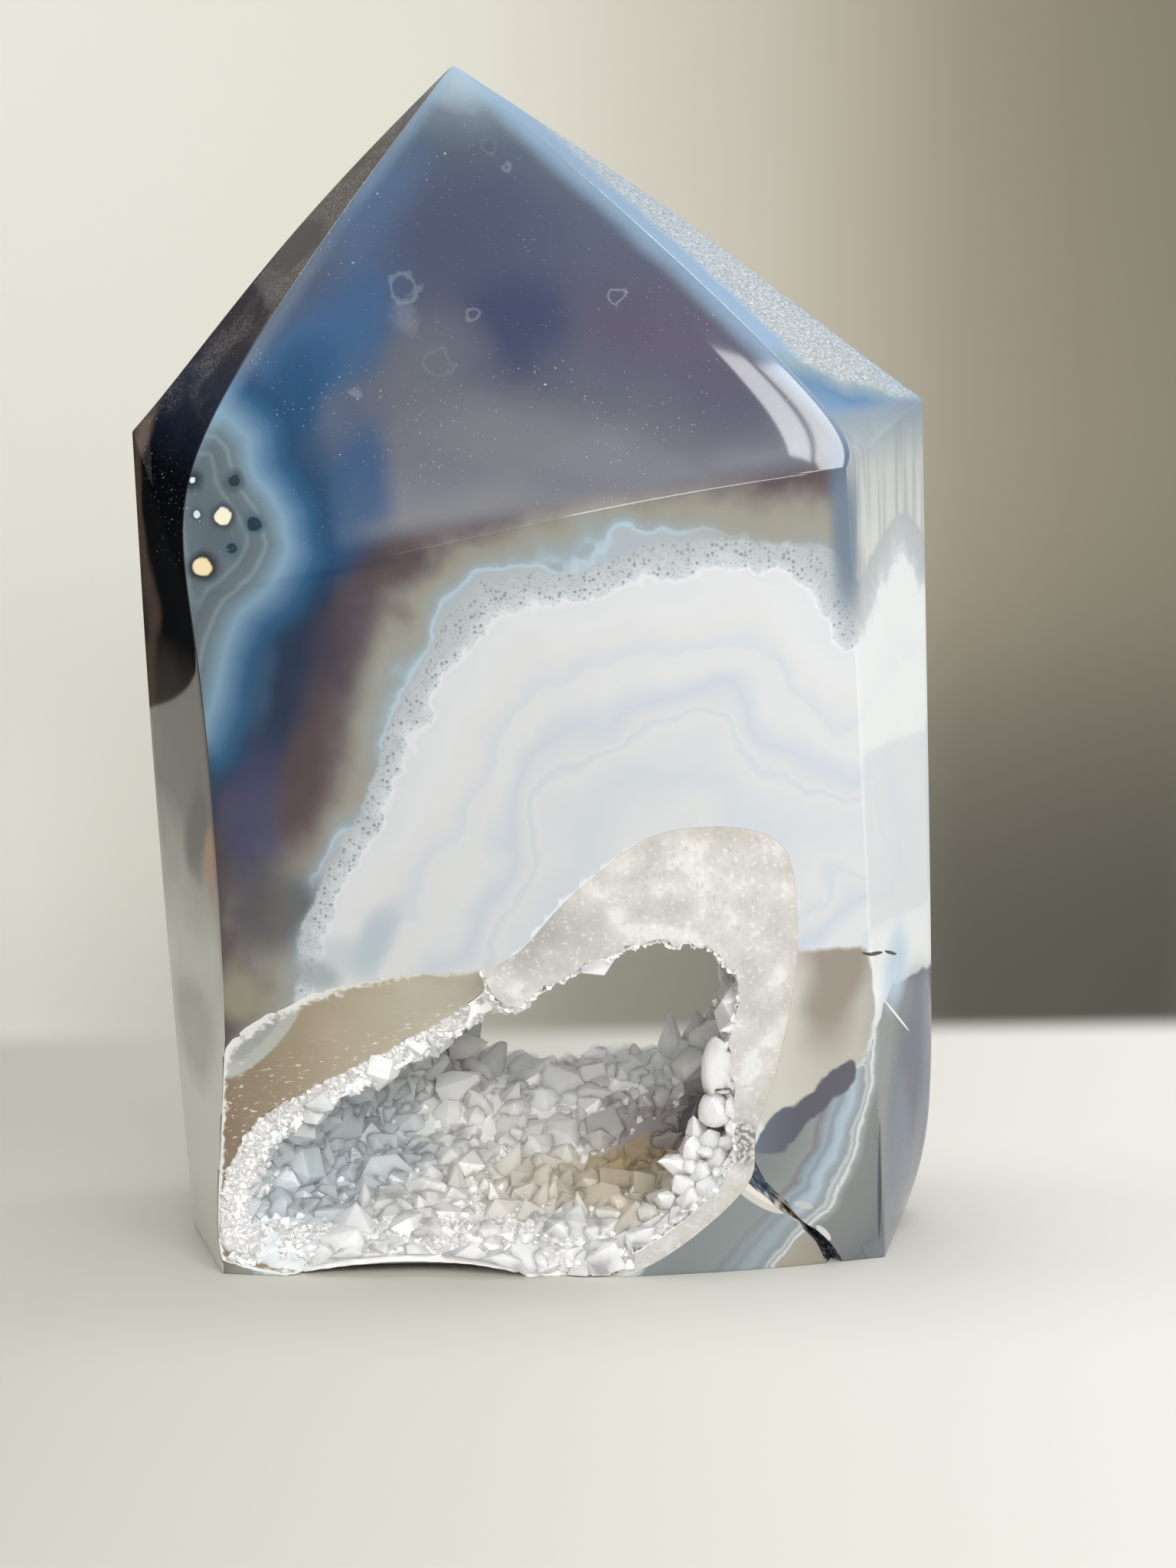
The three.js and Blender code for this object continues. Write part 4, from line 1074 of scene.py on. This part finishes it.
fractured = {
    "stored": ("crack", "behindSkin"),
    "noises": {
        "cloudy": ("still", {"Scale": 70, "Detail": 2}),
        "ragged": ("still", {"Scale": 1100, "Detail": 3}),
        "flecks": ("still", {"Scale": 1900, "Detail": 5, "Roughness": 0.65}, (0.35, 1, 1), 38),
        "rubble": ("still", {"Scale": 800, "Detail": 4}),
        "soot": ("still", {"Scale": 2600, "Detail": 3}),
    },
    "made": {
        "across": ("x", {"cloudy": 12}),
        "rim": ("behindSkin", {"ragged": -1.6}),
        "broken": ("rim", -0.15, -0.5, 0, 1, "LINEAR"),
        "flecked": ("flecks", 0.6, 0.65, 0, 1, "LINEAR"),
        "inwards": ("y", -21.8, -19.2, 0, 1, "LINEAR"),
        "inCrack": ("crack", 6, 4.5, 0, 1, "LINEAR"),
        "pastSlate": ("x", 27.8, 28.8, 0, 1, "LINEAR"),
        "pastRubble": ("x", 32.2, 32.8, 0, 1, "LINEAR"),
    },
    "spots": {
        "sickle": ("still", (-35.9, -24, 30.8), (2.5, 8, 7.4), 39),
        "glaze": ("still", (-36.3, -24, 31.2), (1.6, 8, 6.2), 39),
    },
    # The bared slope, by mm to the right.
    "slope": {-37: "#7d6a54", -33: "#8f7f69", -26: "#a4967f", -18: "#b7ac98", -10: "#c6bdac", 2: "#d6d2c8"},
    # The crack's walls from top to bottom: slate, white rubble and a darker end, each along a noise.
    "slate": {0.3: "#4c5766", 0.46: "#6d7a8b", 0.56: "#97a2ae", 0.62: "#d4d8da"},
    "rubble": {0.34: "#47474a", 0.42: "#8d8985", 0.47: "#d0cbc3", 0.56: "#f4f1ea"},
    # darker towards the crack's lower end
    "soot": {0.4: "#26292d", 0.56: "#474b50", 0.64: "#a9adaf"},
    "bump": {"Strength": 0.35, "Distance": 0.3 * mm},
}


def fracturedAgate():  # agate broken open and left raw: satin, rippled, flecked with white chips
    material, tree, shader = newMaterial("fractured agate", Roughness=0.42, IOR=1.54)
    number = numbersFor(tree, fractured)
    walls = add(tree, "ValToRGB", {0: number["rubble"]}, stops=fractured["slate"])
    walls = layOver(tree, walls, number, [
        (("rubble", fractured["rubble"]), ("pastSlate",)),
        (("soot", fractured["soot"]), ("pastRubble",)),
    ])
    base = add(tree, "ValToRGB", {0: number["across"]}, stops=fractured["slope"])
    base = layOver(tree, base, number, [
        ("#b9bab4", ("sickle", 0.12, 0.24)),
        ("#9aa09e", ("glaze", 0.1, 0.5, 0.8)),
        ("#f0eeea", ("flecked",), ("inwards",)),
        ("#e9e8e5", ("broken",)),
        (walls, ("inCrack",)),
    ])
    tree.links.new(base, shader.inputs["Base Color"])
    bump = add(tree, "Bump", {"Height": number["flecks"], **fractured["bump"]})
    tree.links.new(bump, shader.inputs["Normal"])
    return material


cutCrust = {
    "stored": ("edge",),
    "noises": {
        "mottle": ("still", {"Scale": 260, "Detail": 3}),
        "sugar": ("still", {"Scale": 1700, "Detail": 3}),
    },
    "made": {
        "sparkle": ("sugar", 0.58, 0.7, 0, 0.4, "LINEAR"),
        "pits": ("sugar", 0.4, 0.3, 0, 0.4, "LINEAR"),
        "grains": ("sugar", 0.54, 0.46, 0, 1, "LINEAR"),
    },
    "spots": {
        "shade": ("still", (-2, -25, 44), (8, 5, 5), 0),
        "grey": ("still", (23.8, -25, 16.6), (3.2, 5, 2.6), 45),
    },
    "milky": {0.34: "#afada9", 0.44: "#b8b5b1", 0.56: "#c0bdb9", 0.64: "#cccbc8"},
    "bump": {"Strength": 0.3, "Distance": 0.4 * mm},
}


def polishedQuartz():  # the crust cut through and polished: clear and milky grains with a warm outer edge
    material, tree, shader = newMaterial("polished granular quartz", Roughness=0.2, IOR=1.544)
    number = numbersFor(tree, cutCrust)
    base = add(tree, "ValToRGB", {0: number["mottle"]}, stops=cutCrust["milky"])
    base = layOver(tree, base, number, [
        ("#a79a87", ("edge", 1.2, 0.1, 0.22)),
        ("#918f8b", ("shade",)),
        ("#e6e5e3", ("sparkle",)),
        ("#969389", ("pits",)),
        ("#777470", ("grains",), ("grey", 0, 0.4)),
    ])
    tree.links.new(base, shader.inputs["Base Color"])
    bump = add(tree, "Bump", {"Height": number["mottle"], **cutCrust["bump"]})
    tree.links.new(bump, shader.inputs["Normal"])
    return material


quartz = {  # what all loose quartz shares: light goes this deep in it
    "IOR": 1.544, "Subsurface_Radius": (1, 1, 1), "Subsurface_Scale": 3 * mm}


def druzyBed():  # the sugary ground between the crystal points
    material, tree, shader = newMaterial("druzy quartz bed", Roughness=0.35, IOR=quartz["IOR"])
    # its colour is the tone attribute, which holds painted light and shade
    toneAndPaintedLight = add(tree, "Attribute", give="Color", attribute_name="toneAndPaintedLight")
    tree.links.new(toneAndPaintedLight, shader.inputs["Base Color"])
    return material


def quartzCrystal():  # milky quartz with natural, faintly etched faces: light comes through its edges
    material, tree, shader = newMaterial(
        "quartz crystal", Roughness=0.12, Transmission_Weight=0.1, Subsurface_Weight=0.6, **quartz)
    at = add(tree, "TexCoord", give="Object")
    etched = add(tree, "TexNoise", {"Vector": at, "Scale": 800, "Detail": 4, "Roughness": 0.6})
    bump = add(tree, "Bump", {"Height": etched, "Strength": 0.35, "Distance": 0.5 * mm})
    tree.links.new(bump, shader.inputs["Normal"])
    # its colour is the tone attribute, which holds painted light and shade
    toneAndPaintedLight = add(tree, "Attribute", give="Color", attribute_name="toneAndPaintedLight")
    tree.links.new(toneAndPaintedLight, shader.inputs["Base Color"])
    return material


def clearQuartz():  # clear as glass, where the light comes through from behind and along the rim
    return newMaterial("clear quartz crystal", Base_Color="#fdfdfc", Roughness=0.15, Transmission_Weight=0.45,
                       Subsurface_Weight=0.5, **quartz)[0]


def brokenQuartz():  # crushed edges of the crust: white, with sparkle
    finish = {**quartz, "Subsurface_Scale": 1 * mm}
    return newMaterial("broken quartz", Base_Color="#fdfcfa", Roughness=0.25, Subsurface_Weight=0.6,
                       **finish)[0]


stage = {
    "floor": {-0.15: "#aeaca2", -0.06: "#c3c1b7", 0.02: "#d5d3cb", 0.15: "#eeede8"},  # m to the right
    # The board behind, by how far to the right of where the photograph was taken from: metres to the metre.
    "far": {-0.1: "#e2e0d6", 0.03: "#e6e3d8", 0.11: "#cfc9b9", 0.168: "#a79f8b", 0.2: "#9a9380",
            0.25: "#8f8976", 0.35: "#c9c5b8", 0.5: "#e4e1d6"},
    # the board's foot, by the same slant, mixed in nearer the stone: painted shade
    "foot": {-0.1: "#d6d5ca", 0.02: "#a9a99c", 0.06: "#87887a", 0.12: "#6c6b61", 0.17: "#46433a",
             0.23: "#413e35", 0.35: "#a9a79c", 0.5: "#d3d1c6"},
    "footEnd": 1.0,  # m behind the stone
    "boardFrom": (0.1, 0.12),  # m behind the stone, where the floor's tone turns to the board's
    "sweepFrom": 0.65,  # m behind the stone, where the board starts to rise
    "sweepRadius": 1.0,
    "width": 8,
    "nearEdge": -4,
    "wall": 2,  # m that it goes up past the sweep
}


def paleFloor():  # one sheet of pale board that sweeps up behind
    bpy.ops.object.select_all(action="DESELECT")
    bpy.ops.mesh.primitive_plane_add(size=1, location=(0, 0, 0))
    floor = bpy.context.object
    floor.name = "floor"
    for corner in floor.data.vertices:
        end = "nearEdge" if corner.co.y < 0 else "sweepFrom"
        corner.co = (corner.co.x * stage["width"], stage[end], 0)
    bpy.ops.object.mode_set(mode="EDIT")
    bpy.ops.mesh.select_all(action="DESELECT")
    for edge in bmesh.from_edit_mesh(floor.data).edges:
        edge.select = all(v.co.y > 0 for v in edge.verts)
    centre = (0, stage["sweepFrom"], stage["sweepRadius"])
    bpy.ops.mesh.spin(steps=24, angle=-math.pi / 2, center=centre, axis=(1, 0, 0))
    bpy.ops.mesh.extrude_region_move(TRANSFORM_OT_translate={"value": (0, 0, stage["wall"])})
    bpy.ops.object.mode_set(mode="OBJECT")
    bpy.ops.object.shade_smooth()
    material, tree, shader = newMaterial("pale matt board", Roughness=0.6)
    at = add(tree, "TexCoord", give="Object")
    x, y, _ = add(tree, "SeparateXYZ", {0: at}, give=None)
    start, end = stage["boardFrom"]
    behind = add(tree, "MapRange", {0: y, 1: start, 2: end}, interpolation_type="SMOOTHSTEP")
    aside, back = view["place"][0] * mm, view["place"][1] * mm
    aside = add(tree, "Math", {0: x, 1: aside}, operation="SUBTRACT")
    back = add(tree, "Math", {0: y, 1: back}, operation="SUBTRACT")
    slant = add(tree, "Math", {0: aside, 1: back}, operation="DIVIDE")
    wall = add(tree, "ValToRGB", {0: slant}, stops=stage["far"])
    foot = add(tree, "ValToRGB", {0: slant}, stops=stage["foot"])
    shaded = add(tree, "MapRange", {0: y, 1: start, 2: stage["footEnd"], 3: 1.0, 4: 0.0},
                 interpolation_type="SMOOTHSTEP")
    wall = add(tree, "Mix", {0: shaded, 6: wall, 7: foot}, give=2, data_type="RGBA")
    near = add(tree, "ValToRGB", {0: x}, stops=stage["floor"])
    base = add(tree, "Mix", {0: behind, 6: near, 7: wall}, give=2, data_type="RGBA")
    tree.links.new(base, shader.inputs["Base Color"])
    floor.data.materials.append(material)


# Softboxes: place in m, what it is turned to, width and height in m, watts.
lights = {
    "front": ((0.3, -0.75, 0.5), (0, 0, 0.04), (0.7, 0.26), 4.6),
    "overhead": ((0, 0.1, 1.15), (0, 0.05, 0), (0.5, 0.5), 3.6),
    "left ridge": ((-0.61, 0.09, 0.82), (0, 0, 0.12), (0.3, 0.24), 1.3),
    "right ridge": ((0.55, 0.14, 0.87), (0, 0, 0.12), (0.2, 0.18), 1.2),
    "window left pane": ((0.545, -0.374, 0.884), (0.03, -0.02, 0.107), (0.07, 0.1), 0.2),
    "window right pane": ((0.593, -0.31, 0.884), (0.03, -0.02, 0.107), (0.06, 0.1), 0.17),
    "crease strip": ((0, -0.95, 0.53), (0, -0.02, 0.09), (0.6, 0.12), 0.5),
    "board": ((-0.5, 0.9, 0.9), (-0.1, 1.6, 0.5), (0.5, 0.5), 3.6),
}
druzyFill = ((-0.05, -0.9, 0.3), (0, 0, 0.02), (0.4, 0.3), 2.8)  # the same, for the druzy alone
# Dark cards that only the side faces mirror: place and size in m, colour.
flags = {
    "left_flag": ((-0.21, 0.20, 0.137), (0.22, 0.22), "#060607"),
    "low_right_flag": ((0.25, 0.13, 0.018), (0.2, 0.036), "#1b2336"),
}


def addLight(name, place, target, size, watts, only=()):
    bpy.ops.object.light_add(type="AREA", location=place)
    light = bpy.context.object
    light.name = name
    light.data.shape = "RECTANGLE"
    light.data.size, light.data.size_y = size
    light.data.energy = watts
    light.rotation_euler = (Vector(place) - Vector(target)).to_track_quat("Z", "Y").to_euler()
    if only:
        lit = bpy.data.collections.new(name)
        for piece in only:
            lit.objects.link(piece)
        light.light_linking.receiver_collection = lit


def addFlag(name, place, size, tone):
    bpy.ops.object.select_all(action="DESELECT")
    bpy.ops.mesh.primitive_plane_add(size=1)
    card = bpy.context.object
    card.name = name
    bpy.ops.object.mode_set(mode="EDIT")
    bpy.ops.transform.resize(value=(*size, 1))
    bpy.ops.object.mode_set(mode="OBJECT")
    card.rotation_euler = (Vector(place) * Vector((1, 1, 0))).to_track_quat("Z", "Y").to_euler()
    card.location = place
    bpy.ops.object.transform_apply()
    card.visible_camera = card.visible_diffuse = card.visible_shadow = card.visible_transmission = False
    card.data.materials.append(newMaterial("velvet card", Base_Color=tone, Roughness=1.0)[0])


blank = stoneBlank()
skin = surfaceOf(blank)
cavity = cavityTool()
liningOutside, liningInside, liningRings = liningTools()
outside, inside = surfaceOf(liningOutside), surfaceOf(liningInside)
archCut = archTool()
lipCut = lipTool()
crackCut = crackTool()
print("shapes lofted")

crust = copyOf(blank, "quartz_crust")
carve(crust, liningOutside, "INTERSECT")
carve(crust, archCut)
carve(crust, liningInside)
carve(crust, lipCut)
finish(crust, "WELD", merge_threshold=0.002 * mm)  # one corner where carving leaves two
stone = blank
stone.name = "polished_agate"
carve(stone, cavity)
carve(stone, archCut)
carve(stone, crackCut)
# The crust's faces: 0 polished with the stone, 1 against the stone, 2 in the hollow, -1 broken.
stoneFaces = faceSplit(stone, skin)
crustFaces = faceSplit(crust, skin, outside, inside)
isInner = [kind == 2 for kind in crustFaces]
points, clearPoints, roundOnes = growPoints(crust, isInner)
grit = scatterChips(crust, isInner)
for tool in (cavity, liningOutside, liningInside, archCut, lipCut, crackCut):
    bpy.data.objects.remove(tool)
print("hollow carved, crystals grown", len(stone.data.polygons), len(crust.data.polygons))

layOutBands(stone)
paintCrustTonesAndLight(crust)


def dress(piece, materials, kinds):  # kinds gives each face its material
    piece.data.materials.clear()
    for material in materials:
        piece.data.materials.append(material)
    piece.data.polygons.foreach_set("material_index", kinds)


dress(stone, [polishedAgate(), fracturedAgate()], [1 if kind == -1 else 0 for kind in stoneFaces])
dress(crust, [polishedQuartz(), druzyBed(), quartzCrystal()], [0 if kind == 0 else 1 for kind in crustFaces])
dress(points, [crust.data.materials[2]], [0] * len(points.data.polygons))
dress(clearPoints, [clearQuartz()], [0] * len(clearPoints.data.polygons))
dress(roundOnes, [crust.data.materials[2]], [0] * len(roundOnes.data.polygons))
dress(grit, [brokenQuartz()], [0] * len(grit.data.polygons))
for piece in (stone, crust):
    bpy.ops.object.select_all(action="DESELECT")
    bpy.context.view_layer.objects.active = piece
    piece.select_set(True)
    bpy.ops.object.shade_smooth_by_angle(angle=28 * deg)
paleFloor()
for name, setting in lights.items():
    addLight(name, *setting)
addLight("druzy fill", *druzyFill, only=(crust, points, clearPoints, grit))
for name, setting in flags.items():
    addFlag(name, *setting)


room = {
    "up": (0.1, -0.1, 0.99),
    "tones": {-1: "#b5b3ad", 0: "#bdbbb5", 0.6: "#c3c3c1", 1: "#f4f5f7"},  # from below to above
    "strength": 0.7,
}


def softRoom():  # even pale light all round, a little stronger from above
    world = bpy.data.worlds.new("studio")
    bpy.context.scene.world = world
    world.use_nodes = True
    tree = world.node_tree
    toward = add(tree, "TexCoord", give="Generated")
    up = add(tree, "VectorMath", {0: toward, 1: room["up"]}, give="Value", operation="DOT_PRODUCT")
    glow = add(tree, "ValToRGB", {0: up}, stops=room["tones"])
    tree.links.new(glow, tree.nodes["Background"].inputs["Color"])
    tree.nodes["Background"].inputs["Strength"].default_value = room["strength"]


softRoom()
bpy.context.scene.view_settings.view_transform = "Standard"

druzy = ("druzy_crust", "druzy_quartz")
for piece, node, slotName in ((stone, "agate_tower", "polished_agate"), (crust, *druzy), (points, *druzy),
                              (clearPoints, *druzy), (roundOnes, *druzy), (grit, *druzy)):
    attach(piece, "root")
    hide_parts(node)
